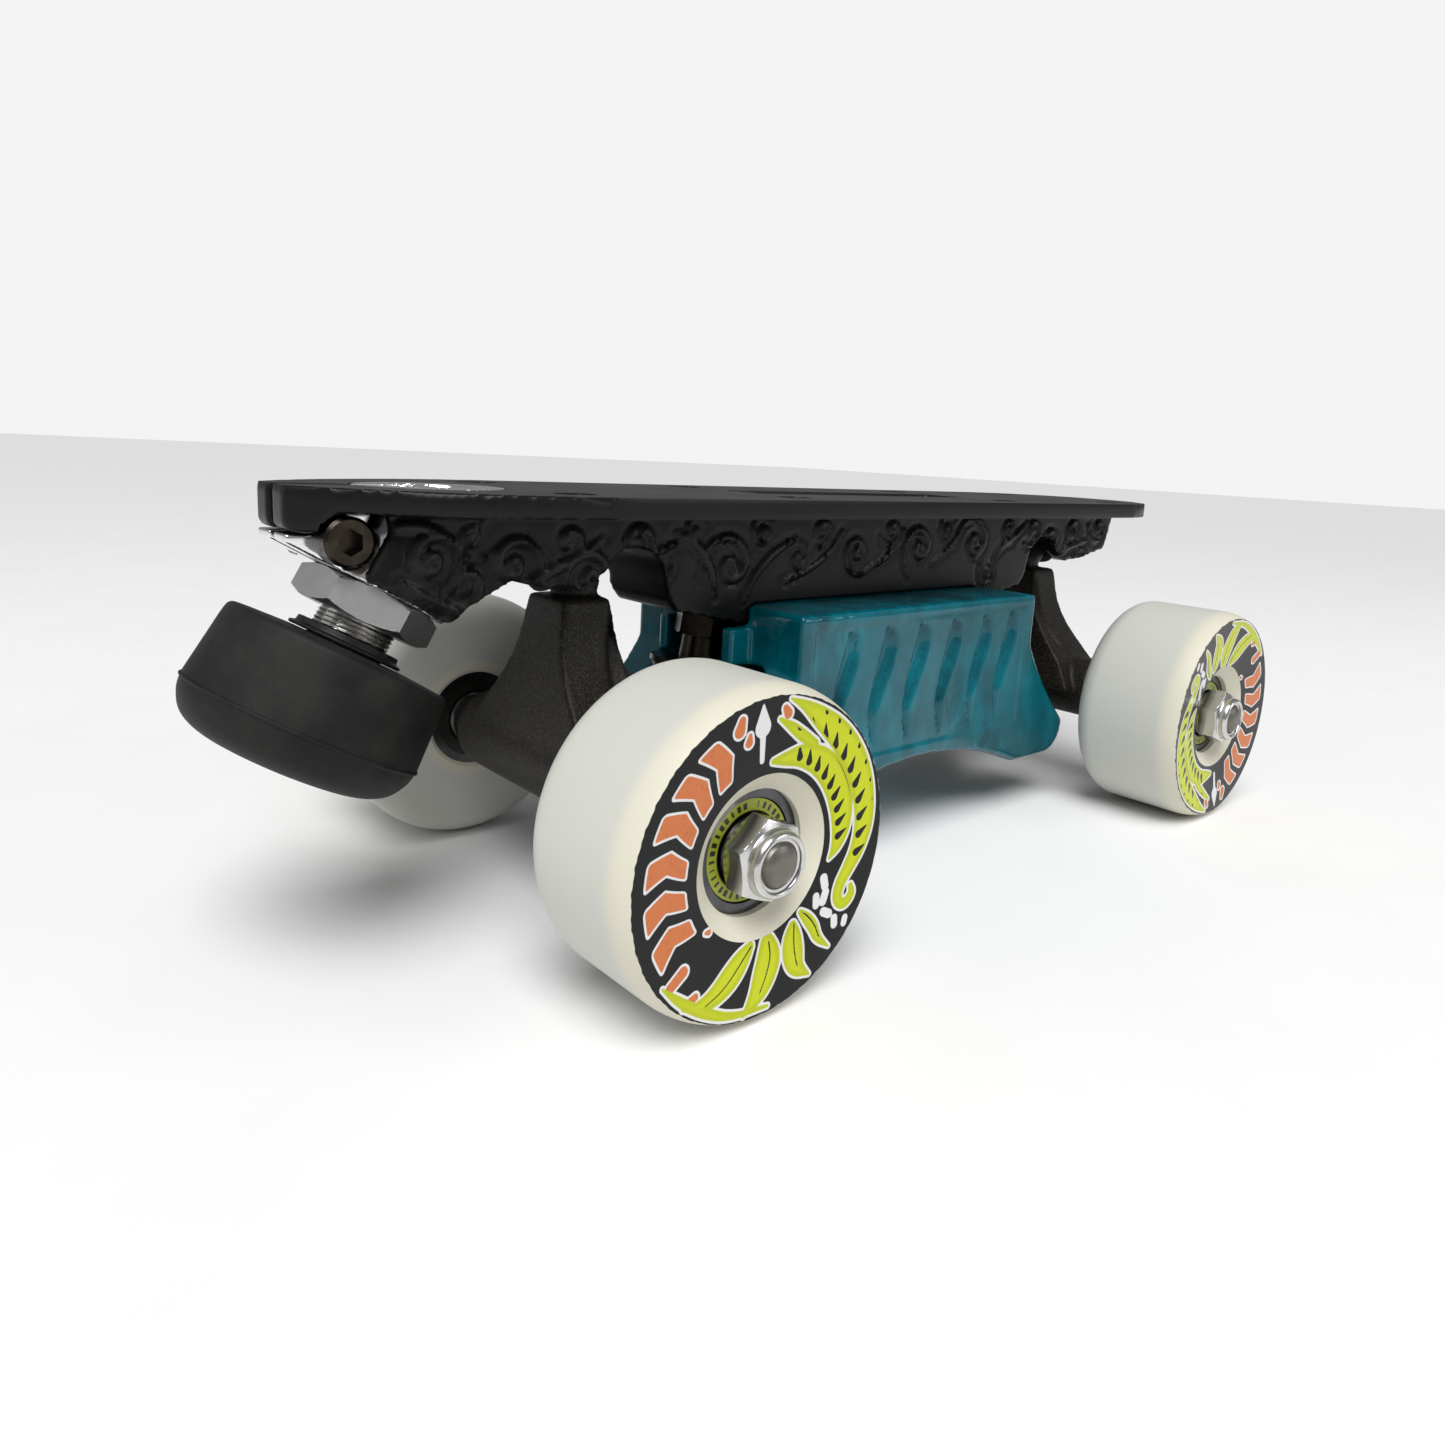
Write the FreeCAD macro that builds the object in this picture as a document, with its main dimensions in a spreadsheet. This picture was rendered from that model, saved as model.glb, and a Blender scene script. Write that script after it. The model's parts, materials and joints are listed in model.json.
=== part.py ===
"""Quad roller-skate chassis: plate, adjustable toe stop, slide block, two steering trucks and four wheels.

Millimetres. +X runs from toe to heel, -Y is the left side and +Z is up. The origin is on the flat top of the
plate, which carries the boot, half-way between the two axles. Every size is a cell of the sheet called dims.
"""
import FreeCAD, Part
import os
import Sketcher
from FreeCAD import Placement, Rotation, Vector

DIMENSIONS = {
    # wheels and bearings
    "wheel_dia": 58, "wheel_width": 29.4, "face_dia": 55.2, "recess_dia": 27.8, "recess_sink": 1.2,
    "outer_shoulder": 5.9, "inner_shoulder": 6, "inner_face_dia": 46, "core_dia": 18.4,
    "bearing_dia": 22, "bearing_bore": 8, "bearing_width": 7, "bearing_recess": 4.9, "cone_depth": 3.7,
    "spacer_length": 10, "outer_land_dia": 18.4, "inner_land_dia": 12.4, "ball_dia": 4,
    "ball_count": 7, "race_play": 0.03, "shield_thick": 0.5, "shield_gap": 0.3,
    # axles
    "wheelbase": 174, "track": 100.6, "axle_dia": 8, "axle_stick_out": 3.8, "axle_dome": 0.8, "axle_tip_dia": 2,
    "washer_dia": 11.6, "washer_thick": 0.9, "nut_across": 13, "nut_hex_height": 4.9, "nut_collar_dia": 11.6,
    "nut_height": 7.2, "nut_lip": 1.2,
    # plate
    "deck_height": 85, "flange_thick": 4, "flange_width": 58, "nose_overhang": 56, "nose_width": 13,
    "nose_reach": "=wheelbase/2+nose_overhang", "nose_run": 53, "nose_depth": 7.6, "nose_length": 6,
    "heel_overhang": 36, "heel_reach": "=wheelbase/2+heel_overhang", "heel_run": 31, "heel_width": 16,
    "keel_width": 22, "keel_depth": 24.5, "arch_depth": 11.2, "hole_width": 5.4, "slot_length": 8,
    "hole_spacing_y": 38, "hole_near_inset": 47, "hole_near_x": "=wheelbase/2-hole_near_inset",
    "hole_far_overhang": 9, "hole_far_x": "=wheelbase/2+hole_far_overhang", "channel_length": 76,
    "channel_width": 12, "channel_depth": 3, "hump_length": 6, "hump_round": 7, "hump_rise": 2.6, "arch_ease": 2.4, "root_depth": 1,
    "nose_corner": 1.8, "nose_ramp": 4.5, "heel_corner": 5, "heel_lift": 3.2, "heel_lug": 15.5, "spare": 60,
    # steering geometry, from each axle inboard and from the plate's top down
    "kingpin_inboard": 40.1, "pod_depth": 28.4, "kingpin_lean": 10, "kingpin_dia": 8, "collar_step": 2,
    "ring_drop": 22, "steer_angle": 43.3, "pivot_reach": 55.4, "pivot_ball_dia": 9, "pivot_play": 0.05,
    "cup_wall": 2.6, "cup_length": 10, "hump_below": 6.7, "pod_outboard": 20, "pod_inboard": 3.4,
    # kingpin stack, measured down the kingpin from the pod
    "lock_nut_height": 5, "retainer_thick": 1.2, "retainer_dia": 23, "cushion_dia": 21, "cushion_waist_dia": 18,
    "upper_cushion": 6.3, "lower_cushion": 8, "ring_thick": 7, "ring_dia": 27, "ring_bore": 13,
    "cushion_gap": 0.1, "cushion_room": 1.6, "room_height": 14, "king_nut_height": 7, "kingpin_tail": 1,
    # hanger
    "tube_dia": 18, "tube_length": 54, "hub_dia": 12.4, "web_base_width": 50, "web_base_front": 8.5,
    "web_base_back": 13, "web_top_width": 13, "web_top_front": 6, "web_top_back": 5, "web_top_below": 9.5,
    "arm_width": 20, "arm_height": 11,
    # toe stop, in the frame of its leaning stem
    "stop_overhang": 28, "stop_ahead": "=wheelbase/2+stop_overhang", "stop_lean": 29.5, "stop_seat": 21.6,
    "stem_dia": 14, "stem_play": 0.05,
    "stem_above_seat": 14, "clamp_dia": 24, "clamp_play": 0.05, "clamp_wall": 1.4,
    "ear_overhang": 55.8, "ear_reach": "=wheelbase/2+ear_overhang", "ear_width": 14, "boss_ahead": 7.2,
    "boss_behind": 11.6, "boss_step": 8, "slit_width": 2.4, "bolt_overhang": 47.2,
    "clamp_bolt_ahead": "=wheelbase/2+bolt_overhang",
    "clamp_bolt_drop": 8.8, "clamp_bolt_dia": 5, "clamp_head_dia": 8.5,
    "clamp_head_length": 5, "clamp_socket": 4, "clamp_relief": 0.6, "clamp_nut_across": 8,
    "clamp_nut_height": 4,
    "stop_nut_across": 22, "stop_nut_height": 6, "stem_gap": 3.1, "stop_washer_dia": 20.6,
    "stop_washer_thick": 2, "stop_top_dia": 40, "stop_mid_dia": 42.6, "stop_upper": 15, "stop_lower": 8.6,
    "stop_corner": 2, "stop_flat_dia": 8, "stem_socket": 6,
    # slide block
    "block_inset": 42, "block_length": "=wheelbase-2*block_inset", "block_width": 58, "block_height": 46.5,
    "foot_inset": 21, "block_foot_length": "=wheelbase-2*foot_inset", "foot_top": 37.5, "shoulder_drop": 13.5,
    "groove_inset": 45, "groove_length": "=wheelbase-2*groove_inset", "groove_depth": 8.5, "end_gap_inset": 53,
    "end_gap_start": "=wheelbase/2-end_gap_inset", "end_gap_width": 36, "notch_inset": 50.5,
    "notch_start": "=wheelbase/2-notch_inset", "notch_width": 19, "prong_length": 6, "prong_width": 26,
    "pod_gap": 0.4,
    "block_screw_x": 18, "block_screw_dia": 6, "block_head_dia": 10, "block_head_length": 6,
    "block_socket": 5, "block_screw_length": 28, "insert_dia": 8.4, "insert_length": 9,
}

doc = FreeCAD.newDocument("roller_skate_chassis")
parts = []


def make_sheet(values):
    """Put every driving size into one sheet, each under its own alias."""
    sheet = doc.addObject("Spreadsheet::Sheet", "dims")
    for row, (name, value) in enumerate(values.items(), start=1):
        sheet.set(f"A{row}", name)
        sheet.set(f"B{row}", str(value))
        sheet.setAlias(f"B{row}", name)
    doc.recompute()
    return sheet


dims = make_sheet(DIMENSIONS)


def bind(text):
    """Turn words that are sheet aliases into references to the sheet."""
    words = []
    word = ""
    for letter in f"{text} ":
        if letter.isalnum() or letter in "_.":
            word += letter
            continue
        words.append(f"dims.{word}" if word in DIMENSIONS else word)
        words.append(letter)
        word = ""
    return "".join(words).strip()


def number(text):
    """Value of an expression written with the sheet's aliases."""
    return float(dims.evalExpression(bind(text).replace("dims.", "")))


# --- sketches and features ------------------------------------------------------------------------

def new_body(name):
    """An empty body that may hold several separate solids."""
    body = doc.addObject("PartDesign::Body", name)
    body.AllowCompound = True
    return body


def new_sketch(body, name, role, outlines, height=None):
    """Draw closed outlines on an origin plane, with every corner tied to the sheet.

    A corner is (x, y), or (x, y, through_x, through_y) when an arc leads from it to the next corner.
    """
    sketch = body.newObject("Sketcher::SketchObject", name)
    plane = next(feature for feature in body.Origin.OriginFeatures if feature.Role == role)
    sketch.AttachmentSupport = (plane, "")
    sketch.MapMode = "FlatFace"
    if height is not None:
        sketch.setExpression(".AttachmentOffset.Base.z", bind(height))
    for outline in outlines:
        draw_outline(sketch, outline)
    return sketch


def tie_point(sketch, geometry, position, x, y):
    """Fix a point of a sketch by two dimensions from the sketch's origin."""
    for kind, text in (("DistanceX", x), ("DistanceY", y)):
        constraint = Sketcher.Constraint(kind, -1, 1, geometry, position, number(text))
        index = sketch.addConstraint(constraint)
        sketch.setExpression(f"Constraints[{index}]", bind(text))


def draw_outline(sketch, outline):
    """Add one closed outline of straight lines and three-point arcs."""
    corners = [Vector(number(corner[0]), number(corner[1]), 0) for corner in outline]
    first = sketch.GeometryCount
    for index, corner in enumerate(outline):
        start = corners[index]
        end = corners[(index + 1) % len(corners)]
        if len(corner) == 4:
            through = Vector(number(corner[2]), number(corner[3]), 0)
            forwards = (through - start).cross(end - through).z > 0
            sketch.addGeometry(Part.Arc(start, through, end), False)
            ends = (1, 2) if forwards else (2, 1)
        else:
            sketch.addGeometry(Part.LineSegment(start, end), False)
            ends = (1, 2)
        tie_point(sketch, first + index, ends[0], corner[0], corner[1])
        following = outline[(index + 1) % len(outline)]
        tie_point(sketch, first + index, ends[1], following[0], following[1])
    for index, corner in enumerate(outline):
        if len(corner) == 4:
            through = Vector(number(corner[2]), number(corner[3]), 0)
            mark = sketch.addGeometry(Part.Point(through), True)
            tie_point(sketch, mark, 1, corner[2], corner[3])
            sketch.addConstraint(Sketcher.Constraint("PointOnObject", mark, 1, first + index))


def revolve(body, outlines, role="XY_Plane"):
    """Turn outlines about the sketch's vertical axis into a full solid of revolution."""
    sketch = new_sketch(body, f"{body.Name}_section", role, outlines)
    feature = body.newObject("PartDesign::Revolution", f"{body.Name}_turned")
    feature.Profile = sketch
    feature.ReferenceAxis = (sketch, ["V_Axis"])
    feature.Angle = 360
    return feature


def pad(body, sketch, length, symmetric=False, downwards=False):
    """Pad a sketch to one side, or half each way."""
    feature = body.newObject("PartDesign::Pad", f"{sketch.Name}_pad")
    feature.Profile = sketch
    feature.setExpression("Length", bind(length))
    feature.SideType = "Symmetric" if symmetric else "One side"
    feature.Reversed = downwards
    return feature


def pocket(body, sketch, length, symmetric=False, upwards=False):
    """Cut a sketch into the body and make sure that the cut took something away."""
    doc.recompute()
    before = body.Shape.Volume
    feature = body.newObject("PartDesign::Pocket", f"{sketch.Name}_cut")
    feature.Profile = sketch
    feature.setExpression("Length", bind(length))
    feature.SideType = "Symmetric" if symmetric else "One side"
    feature.Reversed = upwards
    doc.recompute()
    if body.Shape.Volume >= before:
        raise RuntimeError(f"{feature.Name} cuts nothing")
    return feature


def place(item, x="0", y="0", z="0", axis=None, angle="0"):
    """Bind an object's place and its turn about one axis to the sheet."""
    if axis is not None:
        item.Placement = Placement(Vector(), Rotation(Vector(*axis), 1))
        item.setExpression(".Placement.Rotation.Angle", bind(angle))
    for letter, text in (("x", x), ("y", y), ("z", z)):
        item.setExpression(f".Placement.Base.{letter}", bind(text))
    return item


def primitive(kind, name, sizes, **where):
    """A Part primitive with its sizes and place bound to the sheet."""
    item = doc.addObject(f"Part::{kind}", name)
    for prop, text in sizes.items():
        item.setExpression(prop, bind(text))
    return place(item, **where)


def fuse(name, shapes):
    """Union of several objects."""
    item = doc.addObject("Part::MultiFuse", name)
    item.Shapes = shapes
    item.Refine = True
    return item


def boolean(kind, name, base, tool):
    """Cut or Common of two objects."""
    item = doc.addObject(f"Part::{kind}", name)
    item.Base = base
    item.Tool = tool
    item.Refine = True
    return item


def mirrored_pair(name, item):
    """One object and its mirror image across the centre plane, as two solids of one group."""
    mirror = doc.addObject("Part::Mirroring", f"{name}_mirror")
    mirror.Source = item
    mirror.Normal = Vector(0, 1, 0)
    return group(name, [item, mirror])


def group(name, items):
    """Several separate solids in one node."""
    item = doc.addObject("Part::Compound", name)
    item.Links = items
    return item


def keep(item, label):
    """Name a finished sub-part, which is written to a file of that name."""
    item.Label = label
    parts.append(item)
    return item


def box_outline(left, right, low, high):
    """Four corners of an upright rectangle."""
    return [(left, low), (right, low), (right, high), (left, high)]


def easing(run, rise):
    """Middle point of an arc that leaves a straight side smoothly: how far along and how far away from it."""
    half_turn = f"atan(({rise})/({run}))"
    radius = f"((({run})^2+({rise})^2)/2/({rise}))"
    return f"{radius}*sin({half_turn})", f"{radius}*(1-cos({half_turn}))"


def hexagon(across):
    """Corners of a hexagon by the distance across its flats, centred on the origin."""
    turns = range(30, 390, 60)
    reach = f"({across})/2/cos(30)"
    return [(f"{reach}*cos({turn})", f"{reach}*sin({turn})") for turn in turns]


# --- frames ---------------------------------------------------------------------------------------

AXLE_Z = "wheel_dia/2-deck_height"
RING_IN = "(kingpin_inboard-ring_drop*sin(kingpin_lean))"
POD_UP = "(deck_height-pod_depth-wheel_dia/2)"
RING_UP = f"({POD_UP}-ring_drop*cos(kingpin_lean))"
PIVOT_IN = f"({RING_IN}-pivot_reach*cos(steer_angle))"
PIVOT_UP = f"({RING_UP}+pivot_reach*sin(steer_angle))"
POD_ROOM = "(pod_depth-keel_depth+pod_inboard*tan(kingpin_lean)+pod_gap)"
ENDS = {"front": -1, "rear": 1}


def seen_from_axle(end, inboard, up):
    """Chassis coordinates of a point given inboard of and above one axle."""
    side = ENDS[end]
    return f"{side}*(wheelbase/2-({inboard}))", f"{AXLE_Z}+({up})"


def at_truck(item, end):
    """Stand an object modelled about the front axle at one of the two axles."""
    turn = "0" if end == "front" else "180"
    return place(item, x=f"{ENDS[end]}*wheelbase/2", z=AXLE_Z, axis=(0, 0, 1), angle=turn)


def on_kingpin(item, end, drop="0"):
    """Stand an object on the kingpin's line, its own z axis up the kingpin, some way down from the pod."""
    inboard = f"kingpin_inboard-({drop})*sin(kingpin_lean)"
    x, z = seen_from_axle(end, inboard, f"{POD_UP}-({drop})*cos(kingpin_lean)")
    return place(item, x=x, z=z, axis=(0, 1, 0), angle=f"{-ENDS[end]}*kingpin_lean")


def on_stop(item, drop="0"):
    """Stand an object on the toe stop's leaning axis, some way down from the plate's top."""
    x = f"-stop_ahead-({drop})*sin(stop_lean)"
    return place(item, x=x, z=f"-({drop})*cos(stop_lean)", axis=(0, 1, 0), angle="stop_lean")


def stop_point(ahead, drop):
    """Chassis coordinates of a point given ahead of the toe stop's axis and down along it."""
    x = f"-stop_ahead-({drop})*sin(stop_lean)-({ahead})*cos(stop_lean)"
    return x, f"-({drop})*cos(stop_lean)+({ahead})*sin(stop_lean)"


# --- fasteners ------------------------------------------------------------------------------------

def cap_screw(name, dia, head_dia, head_length, length, socket):
    """Socket-head cap screw: its head's top face is at z = 0 and its shank points down."""
    body = new_body(name)
    bevel = f"({head_dia})/16"
    outline = [("0", "0"), (f"({head_dia})/2-{bevel}", "0"), (f"({head_dia})/2", f"-{bevel}"),
               (f"({head_dia})/2", f"-({head_length})"), (f"({dia})/2", f"-({head_length})"),
               (f"({dia})/2", f"-({head_length})-({length})+{bevel}"),
               (f"({dia})/2-{bevel}", f"-({head_length})-({length})"), ("0", f"-({head_length})-({length})")]
    revolve(body, [outline], role="XZ_Plane")
    key = new_sketch(body, f"{name}_key", "XY_Plane", [hexagon(socket)])
    pocket(body, key, f"({head_length})/2")
    return body


def hex_nut(name, across, height, bore, collar_dia=None, hex_height=None, lip_dia=None):
    """Nut with rounded corners, its seat at z = 0; a locking collar stands on the hexagon if it has one."""
    prism = primitive("Prism", f"{name}_prism", {"Circumradius": f"({across})/2/cos(30)", "Height": height})
    prism.Polygon = 6
    corner = f"({across})/2/cos(30)"
    slope = f"({across})/24"
    section = [(f"({bore})/2", "0"), (f"({across})/2", "0"), (f"{corner}+0.01", slope)]
    if collar_dia is None:
        section += [(f"{corner}+0.01", f"({height})-{slope}"), (f"({across})/2", height),
                    (f"({bore})/2", height)]
    else:
        collar = f"({collar_dia})/2"
        section += [(f"{corner}+0.01", f"({hex_height})-{slope}"), (collar, hex_height),
                    (collar, f"({height})-{slope}"), (f"{collar}-{slope}", height), (f"({lip_dia})/2", height),
                    (f"({lip_dia})/2", f"({height})-{slope}"), (f"({bore})/2", f"({height})-{slope}")]
    turned = new_body(f"{name}_turned")
    revolve(turned, [section], role="XZ_Plane")
    return boolean("Common", name, prism, turned)


def ring(name, outer, inner, height):
    """Flat washer or plain ring standing on z = 0."""
    body = new_body(name)
    revolve(body, [box_outline(f"({inner})/2", f"({outer})/2", "0", height)], role="XZ_Plane")
    return body


# --- plate ----------------------------------------------------------------------------------------

def plate_outline():
    """Plan of the flange: a slim nose, straight sides and a rounded heel."""
    side = "flange_width/2"
    nose = "nose_width/2"
    along, away = easing("nose_run", f"{side}-{nose}")
    bend_x = f"-nose_reach+nose_run-{along}"
    bend_y = f"({side}-{away})"
    along, away = easing("heel_run", f"{side}-heel_width/2")
    heel_x = f"heel_reach-heel_run+{along}"
    heel_y = f"({side}-{away})"
    return [("-nose_reach", f"-{nose}", bend_x, f"-{bend_y}"), ("-nose_reach+nose_run", f"-{side}"),
            ("heel_reach-heel_run", f"-{side}", heel_x, f"-{heel_y}"), ("heel_reach", "-heel_width/2"),
            ("heel_reach", "heel_width/2", heel_x, heel_y), ("heel_reach-heel_run", side),
            ("-nose_reach+nose_run", side, bend_x, bend_y), ("-nose_reach", nose)]


def flange_section():
    """Side view of the flange: thick at the nose, thin and rounded at the heel."""
    rise = "flange_thick-nose_depth"
    bulge = "nose_corner*(1-cos(45))"
    return [("-nose_reach", "0"),
            ("-nose_reach", "-nose_depth+nose_corner", f"-nose_reach+{bulge}", f"-nose_depth+{bulge}"),
            ("-nose_reach+nose_corner", "-nose_depth"),
            ("-nose_reach+nose_length", "-nose_depth",
             "-nose_reach+nose_length+nose_ramp*0.38", f"-nose_depth-({rise})*0.6"),
            ("-nose_reach+nose_length+nose_ramp", "-flange_thick"), ("heel_reach-heel_corner", "-flange_thick"),
            ("heel_reach-heel_corner*0.3", "-flange_thick+heel_lift*0.375",
             "heel_reach-heel_corner*0.08", "-flange_thick+heel_lift*0.69"),
            ("heel_reach", "-flange_thick+heel_lift"), ("heel_reach", "0")]


def keel_half(end):
    """Lower edge of the keel's side view from the boss or heel inwards to the inboard edge of the pod."""
    def local(inboard, up):
        return seen_from_axle(end, inboard, up)

    pod_slope = "tan(kingpin_lean)"
    hump = f"({PIVOT_UP}-hump_below)"
    arch = "(deck_height-arch_depth-wheel_dia/2)"
    pod_in = "(kingpin_inboard+pod_inboard)"
    pod_out = "(kingpin_inboard-pod_outboard)"
    pod_low = f"({POD_UP}-pod_inboard*{pod_slope})"
    pod_high = f"({POD_UP}+pod_outboard*{pod_slope})"
    middle = f"(({PIVOT_IN}+{pod_out})/2+hump_round/3.5)"
    return [local(f"{PIVOT_IN}-hump_length", f"{hump}+arch_ease/6"),
            local(f"{PIVOT_IN}+hump_length/3", hump) + local(f"{PIVOT_IN}+hump_round", f"{hump}+hump_rise"),
            local(f"{middle}-hump_round*0.57", f"({hump}+{arch})/2+arch_ease")
            + local(f"{middle}+hump_rise", arch),
            local(f"{pod_out}-root_depth", f"({pod_high}+{arch})/2"),
            local(pod_out, f"{pod_high}+hump_rise"), local(f"{pod_out}+hump_length/3", pod_high),
            local(pod_in, pod_low), local(pod_in, "deck_height-keel_depth-wheel_dia/2")]


def keel_section():
    """Side view of the keel with the toe-stop boss, both pivot humps and both kingpin pods."""
    root = "-flange_thick+root_depth"
    boss_front = stop_point("boss_ahead", "stop_seat")
    boss_rear = stop_point("-boss_behind+3", "stop_seat")
    boss_corner = stop_point("-boss_behind+0.6", "stop_seat-0.9")
    boss_back = stop_point("-boss_behind", "stop_seat-3.4")
    boss_top = stop_point("boss_ahead", "(stop_seat*cos(stop_lean)-boss_step)/cos(stop_lean)")
    front = keel_half("front")
    inset = "heel_lug*0.26"
    heel = [("heel_reach-heel_lug*0.71", "-heel_lug"),
            ("heel_reach-heel_lug*0.555", "-heel_lug*0.58", "heel_reach-heel_lug*0.49", "-heel_lug*0.387"),
            (f"heel_reach-{inset}", "-flange_thick+root_depth*0.4"), (f"heel_reach-{inset}", root)]
    head = [(boss_top[0], root), boss_top, boss_front, boss_rear + boss_corner, boss_back,
            (f"{front[0][0]}-7", f"{front[0][1]}+1.8")]
    return head + front + mirror_arcs(front) + heel


def mirror_arcs(front):
    """The front half's edge walked backwards at the rear, with each arc given from its other end."""
    def flip(text):
        return f"-({text})"

    walked = []
    count = len(front)
    for index in range(count - 1, -1, -1):
        corner = (flip(front[index][0]), front[index][1])
        before = front[index - 1] if index > 0 else ()
        if len(before) == 4:
            corner += (flip(before[2]), before[3])
        walked.append(corner)
    return walked


def make_plate():
    """Moulded plate: flange, keel, toe-stop boss and every hole that the fittings go in."""
    plan = new_body("plate_plan")
    plan_sketch = new_sketch(plan, "plate_plan_sketch", "XY_Plane", [plate_outline()])
    pad(plan, plan_sketch, "nose_depth+root_depth", downwards=True)
    side = new_body("plate_side")
    side_sketch = new_sketch(side, "plate_side_sketch", "XZ_Plane", [flange_section()])
    pad(side, side_sketch, "flange_width+root_depth", symmetric=True)
    flange = boolean("Common", "plate_flange", plan, side)

    keel = new_body("plate_keel")
    pad(keel, new_sketch(keel, "plate_keel_sketch", "XZ_Plane", [keel_section()]), "keel_width", symmetric=True)
    boss = primitive("Cylinder", "plate_boss", {"Radius": "clamp_dia/2+clamp_wall",
                                                "Height": "stop_seat+clamp_dia/2"})
    on_stop(boss, "stop_seat")
    boss_block = primitive("Box", "plate_boss_block", {"Length": "spare", "Width": "spare", "Height": "spare"})
    x, z = stop_point("boss_ahead", "stop_seat+4")
    place(boss_block, x=x, y="-spare/2", z=z, axis=(0, 1, 0), angle="stop_lean")
    below_flange = primitive("Box", "plate_boss_limit",
                             {"Length": "2*spare", "Width": "spare", "Height": "spare"},
                             x="-stop_ahead-spare", y="-spare/2", z="-flange_thick+root_depth-spare")
    rear_of_boss = boolean("Common", "plate_boss_rear", boss, boss_block)
    boss_under = boolean("Common", "plate_boss_under", rear_of_boss, below_flange)
    solid = fuse("plate_solid", [flange, keel, boss_under])
    cutter = fuse("plate_cutter", plate_tools())
    return keep(boolean("Cut", "plate_final", solid, cutter), "plate")


def plate_tools():
    """Everything that is taken out of the plate."""
    tools = [on_stop(primitive("Cylinder", "clamp_seat", {"Radius": "clamp_dia/2+clamp_play",
                                                          "Height": "stop_seat+20"}), "stop_seat+5")]
    slit = primitive("Box", "nose_slit", {"Length": "nose_reach-stop_ahead", "Width": "slit_width",
                                          "Height": "spare"},
                     x="-nose_reach-root_depth", y="-slit_width/2", z="-spare/2")
    tools.append(slit)
    tools += bolt_reliefs("plate")
    for end, side in ENDS.items():
        king = primitive("Cylinder", f"{end}_king_bore", {"Radius": "kingpin_dia/2", "Height": "pod_depth-8"})
        tools.append(on_kingpin(king, end, "1"))
        cup = primitive("Cylinder", f"{end}_cup_seat", {"Radius": "pivot_ball_dia/2+pivot_play+cup_wall",
                                                        "Height": "30"})
        x, z = seen_from_axle(end, f"{PIVOT_IN}-cup_length/2*cos(steer_angle)",
                              f"{PIVOT_UP}+cup_length/2*sin(steer_angle)")
        place(cup, x=x, z=z, axis=(0, 1, 0), angle=f"{-side}*(90+steer_angle)")
        tools.append(cup)
    for number_of_screw, side in enumerate((-1, 1), start=1):
        tools.append(primitive("Cylinder", f"insert_seat_{number_of_screw}",
                               {"Radius": "insert_dia/2", "Height": "insert_length+1"},
                               x=f"{side}*block_screw_x", z="-keel_depth-0.5"))
    tools.append(boot_slots())
    tools.append(primitive("Box", "top_channel", {"Length": "channel_length", "Width": "channel_width",
                                                  "Height": "channel_depth+1"},
                           x="-channel_length/2", y="-channel_width/2", z="-channel_depth"))
    return tools


def boot_slots():
    """Eight slots through the flange, four ahead of and four behind the middle."""
    body = new_body("boot_slots")
    outlines = []
    for x_side in (-1, 1):
        for y_side in (-1, 1):
            for reach in ("hole_near_x", "hole_far_x"):
                outlines.append(slot_outline(f"{x_side}*{reach}", f"{y_side}*hole_spacing_y/2"))
    sketch = new_sketch(body, "boot_slots_sketch", "XY_Plane", outlines, height="1")
    pad(body, sketch, "flange_thick+8", downwards=True)
    return body


def slot_outline(x, y):
    """Round-ended slot along x."""
    half = "(slot_length-hole_width)/2"
    radius = "hole_width/2"
    return [(f"{x}-{half}", f"{y}-{radius}"), (f"{x}+{half}", f"{y}-{radius}", f"{x}+{half}+{radius}", y),
            (f"{x}+{half}", f"{y}+{radius}"), (f"{x}-{half}", f"{y}+{radius}", f"{x}-{half}-{radius}", y)]


# --- toe stop -------------------------------------------------------------------------------------

def bolt_reliefs(name):
    """Room for the clamp bolt's head on one side of the ears and for its nut on the other."""
    reliefs = []
    for word, angle, y in (("left", "90", "-ear_width/2"), ("right", "-90", "ear_width/2")):
        reliefs.append(primitive("Cylinder", f"{name}_{word}_relief",
                                 {"Radius": "clamp_head_dia/2+clamp_relief", "Height": "spare/3"},
                                 x="-clamp_bolt_ahead", y=y, z="-clamp_bolt_drop", axis=(1, 0, 0), angle=angle))
    return reliefs


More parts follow.
